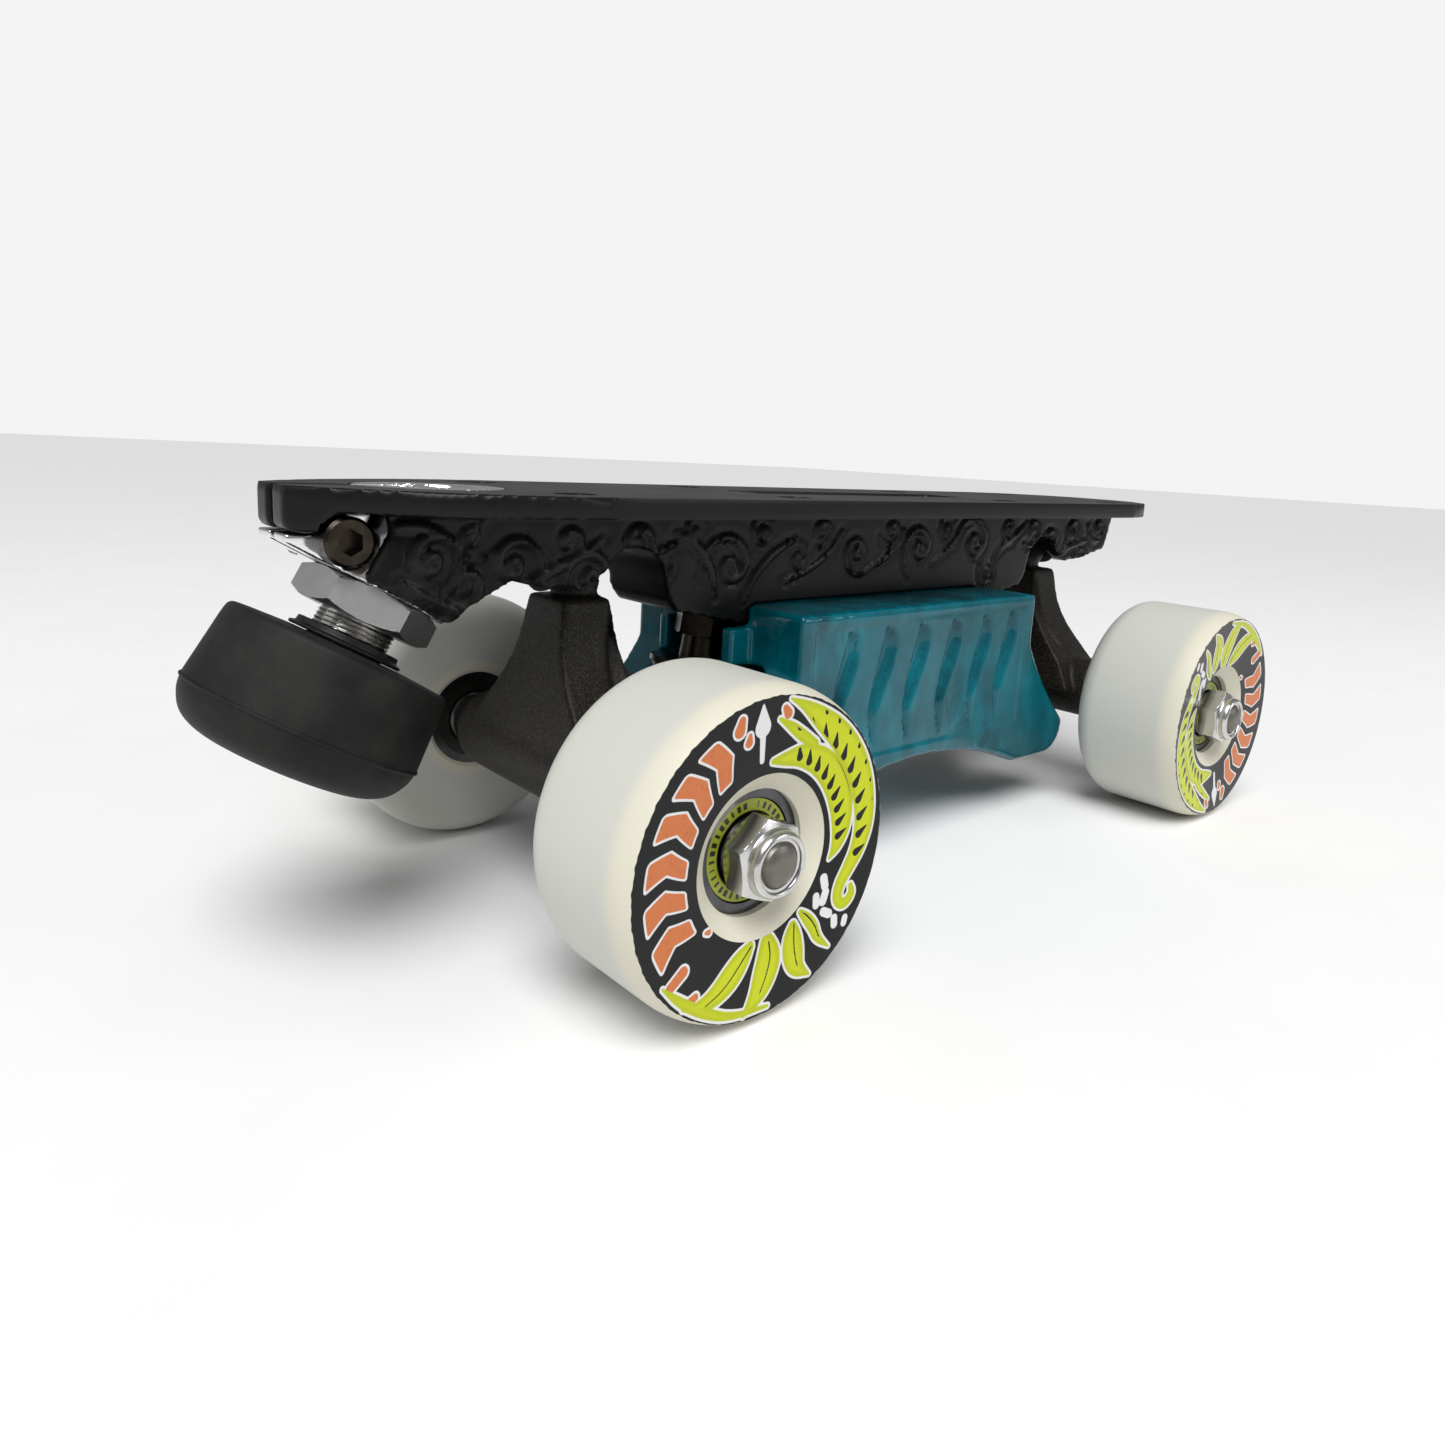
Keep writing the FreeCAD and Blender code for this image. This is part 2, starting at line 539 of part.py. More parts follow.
def make_toe_stop():
    """Clamp, cross bolt, threaded stem, lock nut, washer and rubber stopper."""
    sleeve = primitive("Cylinder", "clamp_sleeve", {"Radius": "clamp_dia/2", "Height": "stop_seat+clamp_dia/2"})
    on_stop(sleeve, "stop_seat")
    under = primitive("Box", "clamp_limit", {"Length": "2*spare", "Width": "spare", "Height": "spare"},
                      x="-stop_ahead-spare", y="-spare/2", z="-spare")
    flush = boolean("Common", "clamp_flush", sleeve, under)
    ears = new_body("clamp_ears")
    heel_of_ear = stop_point("2", "stop_seat")
    nose_line = "(ear_reach-stop_ahead-stop_seat*sin(stop_lean))/cos(stop_lean)"
    toe_of_ear = stop_point(nose_line, "stop_seat")
    outline = [toe_of_ear, heel_of_ear, (heel_of_ear[0], "-flange_thick-0.2"),
               ("-ear_reach+9.6", "-flange_thick-0.2"), ("-ear_reach+6.4", "-nose_depth-0.2"),
               (toe_of_ear[0], "-nose_depth-0.2")]
    pad(ears, new_sketch(ears, "clamp_ears_sketch", "XZ_Plane", [outline]), "ear_width", symmetric=True)
    solid = fuse("clamp_solid", [flush, ears])
    bore = on_stop(primitive("Cylinder", "clamp_bore", {"Radius": "stem_dia/2+stem_play", "Height": "spare"}),
                   "stop_seat+5")
    slit = primitive("Box", "clamp_slit",
                     {"Length": "ear_reach-stop_ahead", "Width": "slit_width", "Height": "spare"},
                     x="-ear_reach-root_depth", y="-slit_width/2", z="-spare")
    hole = primitive("Cylinder", "clamp_hole", {"Radius": "clamp_bolt_dia/2", "Height": "spare"},
                     x="-clamp_bolt_ahead", y="spare/2", z="-clamp_bolt_drop", axis=(1, 0, 0), angle="90")
    cutter = fuse("clamp_cutter", [bore, slit, hole] + bolt_reliefs("clamp"))
    keep(boolean("Cut", "clamp_final", solid, cutter), "toe_stop_clamp")

    shank = "ear_width+clamp_nut_height+1"
    bolt = cap_screw("clamp_bolt_body", "clamp_bolt_dia", "clamp_head_dia", "clamp_head_length", shank,
                     "clamp_socket")
    place(bolt, x="-clamp_bolt_ahead", y="-ear_width/2-clamp_head_length", z="-clamp_bolt_drop",
          axis=(1, 0, 0), angle="90")
    keep(bolt, "clamp_bolt")
    nut = hex_nut("clamp_nut_shape", "clamp_nut_across", "clamp_nut_height", "clamp_bolt_dia")
    place(nut, x="-clamp_bolt_ahead", y="ear_width/2", z="-clamp_bolt_drop", axis=(1, 0, 0), angle="-90")
    keep(nut, "clamp_nut")

    stem = new_body("stem")
    low = "-stop_nut_height-stem_gap-stop_washer_thick-stem_socket"
    revolve(stem, [[("0", low), ("stem_dia/2", low), ("stem_dia/2", "stem_above_seat-1.2"),
                    ("stem_dia/2-1.2", "stem_above_seat"), ("0", "stem_above_seat")]], role="XZ_Plane")
    keep(on_stop(stem, "stop_seat"), "toe_stop_stem")
    jam = hex_nut("stop_nut", "stop_nut_across", "stop_nut_height", "stem_dia+2*stem_play")
    keep(on_stop(jam, "stop_seat+stop_nut_height"), "toe_stop_lock_nut")
    washer_drop = "stop_seat+stop_nut_height+stem_gap+stop_washer_thick"
    washer = ring("stop_washer", "stop_washer_dia", "stem_dia", "stop_washer_thick")
    keep(on_stop(washer, washer_drop), "toe_stop_washer")
    keep(on_stop(make_stopper(), washer_drop), "toe_stop_rubber")


def make_stopper():
    """Rubber stopper, its flat top at z = 0, with a socket for the stem and a domed foot."""
    body = new_body("stopper")
    top = "stop_top_dia/2"
    middle = "stop_mid_dia/2"
    foot = "-stop_upper-stop_lower"
    outline = [("stem_dia/2", "0"), (f"{top}-stop_corner", "0", f"{top}-0.6", "-0.5"),
               (f"{top}+0.2", "-stop_corner"),
               (middle, "-stop_upper", f"{middle}-1.5", "-stop_upper-stop_lower*0.46"),
               (f"{middle}*0.76", f"{foot}+stop_lower*0.17", f"{middle}*0.48", f"{foot}+stop_lower*0.05"),
               ("stop_flat_dia/2", foot), ("0", foot), ("0", "-stem_socket"), ("stem_dia/2", "-stem_socket")]
    revolve(body, [outline], role="XZ_Plane")
    return body


# --- slide block ----------------------------------------------------------------------------------

def make_slide_block():
    """Moulded block between the trucks, saddle-shaped underneath, with its two screws and their inserts."""
    block = new_body("block")
    half = "block_length/2"
    foot = "block_foot_length/2"
    top = "-keel_depth"
    low = "-keel_depth-block_height"
    right = [(half, top), (half, "-keel_depth-shoulder_drop", f"({half})+({foot}-{half})*0.36",
                           f"-keel_depth-foot_top*0.64"),
             (foot, "-keel_depth-foot_top", f"{foot}-1.2", f"{low}+3.6"), (f"{foot}-9", low),
             ("groove_length/2", low, "groove_length/4", f"{low}+groove_depth*0.76")]
    left = [("0", f"{low}+groove_depth", "-groove_length/4", f"{low}+groove_depth*0.76"),
            ("-groove_length/2", low), (f"-({foot})+9", low, f"-({foot})+1.2", f"{low}+3.6"),
            (f"-({foot})", "-keel_depth-foot_top", f"-({half})-({foot}-{half})*0.36", "-keel_depth-foot_top*0.64"),
            (f"-({half})", "-keel_depth-shoulder_drop"), (f"-({half})", top)]
    pad(block, new_sketch(block, "block_side", "XZ_Plane", [right + left]), "block_width", symmetric=True)
    pockets = []
    for side in (-1, 1):
        near = f"{side}*end_gap_start"
        far = f"{side}*(block_foot_length/2+5)"
        notch = f"{side}*notch_start"
        pockets.append((box_outline(near, far, "-end_gap_width/2", "end_gap_width/2"), "-keel_depth-shoulder_drop",
                        "block_height"))
        pockets.append((box_outline(notch, far, "-notch_width/2", "notch_width/2"), top, "block_height+1"))
        pod = f"{side}*(wheelbase/2-kingpin_inboard-pod_inboard-pod_gap)"
        pod_half = "keel_width/2+pod_gap"
        pockets.append((box_outline(pod, far, f"-({pod_half})", pod_half), top, POD_ROOM))
    for index, (outline, height, depth) in enumerate(pockets):
        sketch = new_sketch(block, f"block_end_{index}", "XY_Plane", [outline], height=height)
        pocket(block, sketch, depth)
    prongs = []
    for side in (-1, 1):
        for y_side in (-1, 1):
            prongs.append(primitive("Box", f"prong_{side + 1}{y_side + 1}",
                                    {"Length": "prong_length+4", "Width": "(prong_width-notch_width)/2",
                                     "Height": f"shoulder_drop-{POD_ROOM}"},
                                    x=f"{side}*(block_length/2+prong_length/2-2)-prong_length/2-2",
                                    y=f"{y_side}*(prong_width+notch_width)/4-(prong_width-notch_width)/4",
                                    z="-keel_depth-shoulder_drop"))
    solid = fuse("block_solid", [block] + prongs)
    bores = []
    screws = []
    inserts = []
    head_z = f"{low}+groove_depth+2"
    for index, side in enumerate((-1, 1), start=1):
        x = f"{side}*block_screw_x"
        bores.append(primitive("Cylinder", f"screw_bore_{index}", {"Radius": "block_screw_dia/2",
                                                                   "Height": "block_height"}, x=x, z=low))
        bores.append(primitive("Cylinder", f"screw_counterbore_{index}",
                               {"Radius": "block_head_dia/2+0.3",
                                "Height": "block_height-block_screw_length+insert_length-1"}, x=x, z=low))
        seat = f"{low}+block_height-block_screw_length+insert_length-1"
        screw = cap_screw(f"block_screw_{index}", "block_screw_dia", "block_head_dia", "block_head_length",
                          "block_screw_length", "block_socket")
        place(screw, x=x, z=f"{seat}-block_head_length", axis=(1, 0, 0), angle="180")
        screws.append(screw)
        inserts.append(place(ring(f"insert_{index}", "insert_dia", "block_screw_dia", "insert_length"),
                             x=x, z="-keel_depth"))
    keep(boolean("Cut", "block_final", solid, fuse("block_cutter", bores)), "slide_block")
    keep(group("block_screw_pair", screws), "slide_block_screws")
    keep(group("insert_pair", inserts), "slide_block_inserts")


# --- trucks ---------------------------------------------------------------------------------------

def make_kingpin_stack(end):
    """Kingpin with its nuts, retainers and the two cushions that grip the hanger's ring."""
    washer_top = "ring_drop-ring_thick/2-cushion_gap-upper_cushion-retainer_thick"
    lower_top = "ring_drop+ring_thick/2+cushion_gap"
    nut_top = f"{lower_top}+lower_cushion+retainer_thick"
    tip = f"-({nut_top}+king_nut_height+kingpin_tail)"
    pin = new_body(f"{end}_pin")
    radius = "kingpin_dia/2"
    revolve(pin, [[("0", "pod_depth-9"), (radius, "pod_depth-9"), (radius, "-lock_nut_height"),
                   ("(kingpin_dia+collar_step)/2", "-lock_nut_height"),
                   ("(kingpin_dia+collar_step)/2", f"-({washer_top})"),
                   (radius, f"-({washer_top})"), (radius, f"{tip}+0.8"), (f"{radius}-0.8", tip), ("0", tip)]],
            role="XZ_Plane")
    keep(on_kingpin(pin, end), f"{end}_kingpin")
    lock = hex_nut(f"{end}_lock", "nut_across", "lock_nut_height", "kingpin_dia")
    keep(on_kingpin(lock, end, "lock_nut_height"), f"{end}_kingpin_lock_nut")
    king_nut = hex_nut(f"{end}_king_nut", "nut_across", "king_nut_height", "kingpin_dia", "nut_collar_dia",
                       "king_nut_height*0.68", "kingpin_dia+nut_lip")
    x, z = seen_from_axle(end, f"kingpin_inboard-({nut_top})*sin(kingpin_lean)",
                          f"{POD_UP}-({nut_top})*cos(kingpin_lean)")
    place(king_nut, x=x, z=z, axis=(0, 1, 0), angle=f"180-{ENDS[end]}*kingpin_lean")
    keep(king_nut, f"{end}_kingpin_nut")
    plates = []
    for word, drop in (("upper", f"{washer_top}+retainer_thick"), ("lower", nut_top)):
        cup = ring(f"{end}_{word}_washer", "retainer_dia", "kingpin_dia", "retainer_thick")
        plates.append(on_kingpin(cup, end, drop))
    keep(group(f"{end}_washers", plates), f"{end}_cushion_retainers")
    for word, height, drop in (("upper", "upper_cushion", f"{washer_top}+retainer_thick+upper_cushion"),
                               ("lower", "lower_cushion", f"{lower_top}+lower_cushion")):
        keep(on_kingpin(make_cushion(f"{end}_{word}", height), end, drop), f"{end}_{word}_cushion")


def make_cushion(name, height):
    """Barrel-shaped elastomer cushion with a waist, standing on z = 0."""
    body = new_body(f"{name}_rubber")
    edge = "cushion_dia/2"
    outline = [("kingpin_dia/2", "0"), (edge, "0", f"{edge}+0.2", f"({height})*0.16"),
               (f"{edge}-0.3", f"({height})*0.3", "cushion_waist_dia/2", f"({height})*0.5"),
               (f"{edge}-0.3", f"({height})*0.7", f"{edge}+0.2", f"({height})*0.84"),
               (edge, height), ("kingpin_dia/2", height)]
    revolve(body, [outline], role="XZ_Plane")
    return body


def make_hanger(end):
    """Cast hanger: axle tube, tapering web, arm with the cushion ring, and the pivot pin with its round tip."""
    web = new_body(f"{end}_web")
    base = box_outline("-web_base_front", "web_base_back", "-web_base_width/2", "web_base_width/2")
    top_z = f"{PIVOT_UP}-web_top_below"
    top_x = f"({PIVOT_IN}+web_top_below*0.72)"
    top = box_outline(f"{top_x}-web_top_front", f"{top_x}+web_top_back", "-web_top_width/2", "web_top_width/2")
    lower = new_sketch(web, f"{end}_web_base", "XY_Plane", [base], height="0")
    upper = new_sketch(web, f"{end}_web_top", "XY_Plane", [top], height=top_z)
    loft = web.newObject("PartDesign::AdditiveLoft", f"{end}_web_loft")
    loft.Profile = lower
    loft.Sections = [upper]
    loft.Ruled = True

    tube = new_body(f"{end}_tube")
    shoulder = "tube_length/2"
    tip = "track/2+wheel_width/2-bearing_recess-2*bearing_width-spacer_length-washer_thick"
    half = [("axle_dia/2", f"-({tip})"), ("hub_dia/2", f"-({tip})"), ("hub_dia/2", f"-({tip})+2.5"),
            ("tube_dia/2", f"-({shoulder})"), ("tube_dia/2", shoulder), ("hub_dia/2", f"{tip}-2.5"),
            ("hub_dia/2", tip), ("axle_dia/2", tip)]
    revolve(tube, [half])

    arm = new_body(f"{end}_arm")
    side = [("0", "-arm_height/2"), (RING_IN, f"{RING_UP}-ring_thick/2"), (RING_IN, f"{RING_UP}+ring_thick/2"),
            ("web_base_back+2", f"{RING_UP}+ring_thick/2+8"), ("0", "arm_height")]
    pad(arm, new_sketch(arm, f"{end}_arm_side", "XZ_Plane", [side]), "arm_width", symmetric=True)

    eye = primitive("Cylinder", f"{end}_eye", {"Radius": "ring_dia/2", "Height": "ring_thick"},
                    x=f"{RING_IN}-ring_thick/2*sin(kingpin_lean)", z=f"{RING_UP}-ring_thick/2*cos(kingpin_lean)",
                    axis=(0, 1, 0), angle="kingpin_lean")
    neck = primitive("Cylinder", f"{end}_neck", {"Radius": "pivot_ball_dia/2", "Height": "web_top_below+4"},
                     x=PIVOT_IN, z=PIVOT_UP, axis=(0, 1, 0), angle="90+steer_angle")
    ball = primitive("Sphere", f"{end}_ball", {"Radius": "pivot_ball_dia/2"}, x=PIVOT_IN, z=PIVOT_UP)
    solid = fuse(f"{end}_hanger_solid", [web, tube, arm, eye, neck, ball])
    hole = primitive("Cylinder", f"{end}_eye_hole", {"Radius": "ring_bore/2", "Height": "spare"},
                     x=f"{RING_IN}-spare/2*sin(kingpin_lean)", z=f"{RING_UP}-spare/2*cos(kingpin_lean)",
                     axis=(0, 1, 0), angle="kingpin_lean")
    lane = primitive("Cylinder", f"{end}_axle_lane", {"Radius": "axle_dia/2", "Height": "track+wheel_width"},
                     y="(track+wheel_width)/2", axis=(1, 0, 0), angle="90")
    cutter = fuse(f"{end}_hanger_cutter", [hole, lane] + cushion_rooms(end))
    keep(at_truck(boolean("Cut", f"{end}_hanger_final", solid, cutter), end), f"{end}_hanger")


def cushion_rooms(end):
    """Space above and below the ring for the cushions and their retainers while the hanger tilts."""
    rooms = []
    for word, offset in (("upper", "ring_thick/2"), ("lower", "-ring_thick/2-room_height")):
        rooms.append(primitive("Cylinder", f"{end}_{word}_room",
                               {"Radius": "retainer_dia/2+cushion_room", "Height": "room_height"},
                               x=f"{RING_IN}+({offset})*sin(kingpin_lean)",
                               z=f"{RING_UP}+({offset})*cos(kingpin_lean)",
                               axis=(0, 1, 0), angle="kingpin_lean"))
    return rooms


def make_pivot_cup(end):
    """Urethane cup that the hanger's pivot tip turns in."""
    body = new_body(f"{end}_cup")
    seat = "(pivot_ball_dia/2+pivot_play)"
    half = "cup_length/2"
    outline = [("0", f"-({half})"), (f"{seat}+cup_wall", f"-({half})"), (f"{seat}+cup_wall", half), (seat, half),
               (seat, "0", f"{seat}*cos(45)", f"-{seat}*sin(45)"), ("0", f"-{seat}")]
    revolve(body, [outline], role="XZ_Plane")
    x, z = seen_from_axle(end, PIVOT_IN, PIVOT_UP)
    place(body, x=x, z=z, axis=(0, 1, 0), angle=f"{-ENDS[end]}*(90+steer_angle)")
    keep(body, f"{end}_pivot_cup")


def make_axle_set(end):
    """Axle pressed through the hanger, two washers for each wheel and one locking nut at each tip."""
    reach = "(track/2+wheel_width/2+axle_stick_out)"
    shaft = new_body(f"{end}_shaft")
    radius = "axle_dia/2"
    tip = "axle_tip_dia/2"
    revolve(shaft, [[("0", f"-{reach}"), (tip, f"-{reach}", f"({radius}+{tip})/2", f"-{reach}+axle_dome*0.3"),
                     (f"{radius}-0.5", f"-{reach}+axle_dome"), (radius, f"-{reach}+axle_dome+0.6"),
                     (radius, f"{reach}-axle_dome-0.6"),
                     (f"{radius}-0.5", f"{reach}-axle_dome", f"({radius}+{tip})/2", f"{reach}-axle_dome*0.3"),
                     (tip, reach), ("0", reach)]])
    keep(at_truck(shaft, end), f"{end}_axle")
    face = "(track/2+wheel_width/2-bearing_recess)"
    inner = f"({face}-2*bearing_width-spacer_length)"
    washers = new_body(f"{end}_speed_washers")
    outlines = []
    for low in (f"-{face}-washer_thick", f"-{inner}", f"{inner}-washer_thick", face):
        outlines.append(box_outline("axle_dia/2", "washer_dia/2", low, f"{low}+washer_thick"))
    revolve(washers, outlines)
    keep(at_truck(washers, end), f"{end}_axle_washers")
    nut = hex_nut(f"{end}_axle_nut", "nut_across", "nut_height", "axle_dia", "nut_collar_dia", "nut_hex_height",
                  "axle_dia+nut_lip")
    place(nut, y=f"-{face}-washer_thick", axis=(1, 0, 0), angle="90")
    keep(at_truck(mirrored_pair(f"{end}_nut_pair", nut), end), f"{end}_axle_nuts")


# --- wheels ---------------------------------------------------------------------------------------

OUTER_BEARING = "(-wheel_width/2+bearing_recess+bearing_width/2)"
INNER_BEARING = f"({OUTER_BEARING}+bearing_width+spacer_length)"
PITCH = "(outer_land_dia+inner_land_dia)/4"


def at_wheel(item, end, side):
    """Stand an object modelled about the wheel's centre, its outer face towards -Y, at one of the four wheels."""
    turn = "0" if side == "left" else "180"
    sign = "-" if side == "left" else ""
    return place(item, x=f"{ENDS[end]}*wheelbase/2", y=f"{sign}track/2", z=AXLE_Z, axis=(0, 0, 1), angle=turn)


def wheel_section():
    """Half section of the tyre and core: printed face, cone down to the bearing, tread and inner face."""
    face = "-wheel_width/2"
    tread = "wheel_dia/2"
    seat = "bearing_dia/2"
    core = "core_dia/2"
    outer_seat = f"{OUTER_BEARING}+bearing_width/2"
    inner_seat = f"{INNER_BEARING}-bearing_width/2"
    outer_along, outer_away = easing("outer_shoulder", "(wheel_dia-face_dia)/2")
    inner_along, inner_away = easing("inner_shoulder", "(wheel_dia-inner_face_dia)/2")
    return [(seat, f"{face}+cone_depth"), ("recess_dia/2-0.4", f"{face}+recess_sink+0.5",
                                                   "recess_dia/2-0.15", f"{face}+recess_sink+0.12"),
            ("recess_dia/2+0.3", f"{face}+recess_sink",
             "(recess_dia+face_dia)/4", f"{face}+recess_sink*0.4"),
            ("face_dia/2", face, f"{tread}-{outer_away}", f"{face}+outer_shoulder-{outer_along}"),
            (tread, f"{face}+outer_shoulder"),
            (tread, "wheel_width/2-inner_shoulder", f"{tread}-{inner_away}",
             f"wheel_width/2-inner_shoulder+{inner_along}"),
            ("inner_face_dia/2", "wheel_width/2"), (f"{seat}+0.8", "wheel_width/2"),
            (seat, f"{INNER_BEARING}+bearing_width/2"), (seat, inner_seat), (core, inner_seat),
            (core, outer_seat), (seat, outer_seat)]


def race_outline(middle, land, edge, groove):
    """Half section of one bearing ring about its own middle."""
    half = "bearing_width/2"
    chord = "ball_dia*0.34"
    return [(edge, f"{middle}-{half}"), (land, f"{middle}-{half}"),
            (land, f"{middle}-{chord}", groove, middle), (land, f"{middle}+{chord}"),
            (land, f"{middle}+{half}"), (edge, f"{middle}+{half}")]


def make_wheel(end, side):
    """One wheel with two ball bearings and the spacer between them."""
    name = f"{end}_{side}"
    tyre = new_body(f"{name}_tyre")
    revolve(tyre, [wheel_section()])
    keep(at_wheel(tyre, end, side), f"{name}_wheel")

    outer = new_body(f"{name}_outer_rings")
    outer_groove = f"{PITCH}+ball_dia/2+race_play"
    revolve(outer, [race_outline(middle, "outer_land_dia/2", "bearing_dia/2", outer_groove)
                    for middle in (OUTER_BEARING, INNER_BEARING)])
    keep(at_wheel(outer, end, side), f"{name}_bearing_outer_rings")

    inner = new_body(f"{name}_inner_rings")
    inner_groove = f"{PITCH}-ball_dia/2-race_play"
    revolve(inner, [race_outline(middle, "inner_land_dia/2", "bearing_bore/2", inner_groove)
                    for middle in (OUTER_BEARING, INNER_BEARING)])
    keep(at_wheel(inner, end, side), f"{name}_bearing_inner_rings")

    keep(at_wheel(make_balls(name), end, side), f"{name}_bearing_balls")

    shields = new_body(f"{name}_shield_rings")
    outlines = []
    for middle in (OUTER_BEARING, INNER_BEARING):
        for sign in ("-", "+"):
            plane = f"{middle}{sign}(bearing_width/2-shield_thick)"
            outlines.append(box_outline("inner_land_dia/2+shield_gap", "outer_land_dia/2",
                                        f"{plane}-shield_thick/2", f"{plane}+shield_thick/2"))
    revolve(shields, outlines)
    keep(at_wheel(shields, end, side), f"{name}_bearing_shields")

    spacer = new_body(f"{name}_spacer_tube")
    revolve(spacer, [box_outline("axle_dia/2+race_play", "inner_land_dia/2-0.6",
                                 f"{OUTER_BEARING}+bearing_width/2", f"{INNER_BEARING}-bearing_width/2")])
    keep(at_wheel(spacer, end, side), f"{name}_bearing_spacer")


def make_balls(name):
    """Two rings of balls at the bearings' pitch circle."""
    body = new_body(f"{name}_balls")
    balls = []
    for index, middle in enumerate((OUTER_BEARING, INNER_BEARING)):
        ball = body.newObject("PartDesign::AdditiveSphere", f"{name}_ball_{index}")
        ball.setExpression("Radius", bind("ball_dia/2"))
        ball.setExpression(".AttachmentOffset.Base.x", bind(PITCH))
        ball.setExpression(".AttachmentOffset.Base.y", bind(middle))
        plane = next(feature for feature in body.Origin.OriginFeatures if feature.Role == "XY_Plane")
        ball.AttachmentSupport = (plane, "")
        ball.MapMode = "FlatFace"
        balls.append(ball)
    doc.recompute()
    pattern = body.newObject("PartDesign::PolarPattern", f"{name}_ball_circle")
    pattern.Originals = balls
    axis = next(feature for feature in body.Origin.OriginFeatures if feature.Role == "Y_Axis")
    pattern.Axis = (axis, [""])
    pattern.Angle = 360
    pattern.setExpression("Occurrences", bind("ball_count"))
    body.Tip = pattern
    return body


# --- the whole ------------------------------------------------------------------------------------

def check_document():
    """Stop if any object failed to compute or any sub-part isn't a sound solid."""
    for item in doc.Objects:
        if "Invalid" in item.State or "Error" in item.State:
            raise RuntimeError(f"{item.Label} did not compute: {item.State}")
    for item in parts:
        shape = item.Shape
        if shape.isNull() or not shape.isValid() or not shape.Solids:
            raise RuntimeError(f"{item.Label} is not a sound solid")
        print(f"{item.Label:32s} {len(shape.Solids):3d} solids {shape.Volume:12.1f} mm3")


def write_parts():
    """Write each sub-part to a STEP file named after it."""
    os.makedirs("parts", exist_ok=True)
    for item in parts:
        item.Shape.exportStep(f"parts/{item.Label}.step")


make_plate()
make_toe_stop()
make_slide_block()
for end_name in ENDS:
    make_pivot_cup(end_name)
    make_kingpin_stack(end_name)
    make_hanger(end_name)
    make_axle_set(end_name)
    for side_name in ("left", "right"):
        make_wheel(end_name, side_name)
doc.recompute()
check_document()
write_parts()
print(len(parts), "sub-parts")
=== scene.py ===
"""Looks of a quad roller-skate chassis: moulded plate, toe stop, slide block, two trucks and four wheels.

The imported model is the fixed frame. Surfaces are worked out as numpy grids in millimetres and put
into meshes in metres. Every finish is a procedural material.
"""

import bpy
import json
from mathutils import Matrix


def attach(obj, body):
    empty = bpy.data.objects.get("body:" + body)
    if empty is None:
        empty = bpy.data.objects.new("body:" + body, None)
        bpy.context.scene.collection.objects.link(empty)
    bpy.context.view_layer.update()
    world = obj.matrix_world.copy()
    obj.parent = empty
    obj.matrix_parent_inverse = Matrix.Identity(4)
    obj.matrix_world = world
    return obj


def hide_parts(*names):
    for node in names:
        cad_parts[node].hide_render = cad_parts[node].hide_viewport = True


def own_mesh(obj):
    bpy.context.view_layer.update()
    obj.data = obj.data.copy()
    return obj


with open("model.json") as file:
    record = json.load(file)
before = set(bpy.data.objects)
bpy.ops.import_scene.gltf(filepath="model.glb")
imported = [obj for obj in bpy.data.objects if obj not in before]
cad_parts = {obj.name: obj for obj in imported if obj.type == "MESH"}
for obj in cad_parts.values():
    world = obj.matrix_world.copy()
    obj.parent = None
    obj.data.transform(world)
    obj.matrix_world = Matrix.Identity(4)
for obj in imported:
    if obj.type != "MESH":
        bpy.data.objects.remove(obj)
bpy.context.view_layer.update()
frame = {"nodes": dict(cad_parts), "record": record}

import json
import logging
import math
from dataclasses import dataclass, field
from enum import Enum
from typing import Callable, Optional, Sequence, Union

import bmesh
import bpy
import numpy as np
from mathutils import Matrix, Vector

LOG = logging.getLogger("skate_chassis")
MM = 0.001
HEX_SEGMENTS = 144

Relief = Callable[[np.ndarray, np.ndarray], np.ndarray]


class Named(Enum):
    """A choice whose name is part of the CAD nodes' names."""

    @property
    def word(self) -> str:
        """Name used in the CAD nodes."""
        return self.name.lower()


class End(Named):
    """The two ends of the chassis, with the sign of their X coordinate."""

    FRONT = -1
    REAR = 1


class Side(Named):
    """The two sides of the chassis, with the sign of their Y coordinate."""

    LEFT = -1
    RIGHT = 1


# --- shader arithmetic ----------------------------------------------------------------------------

Value = Union["Wire", float, int]


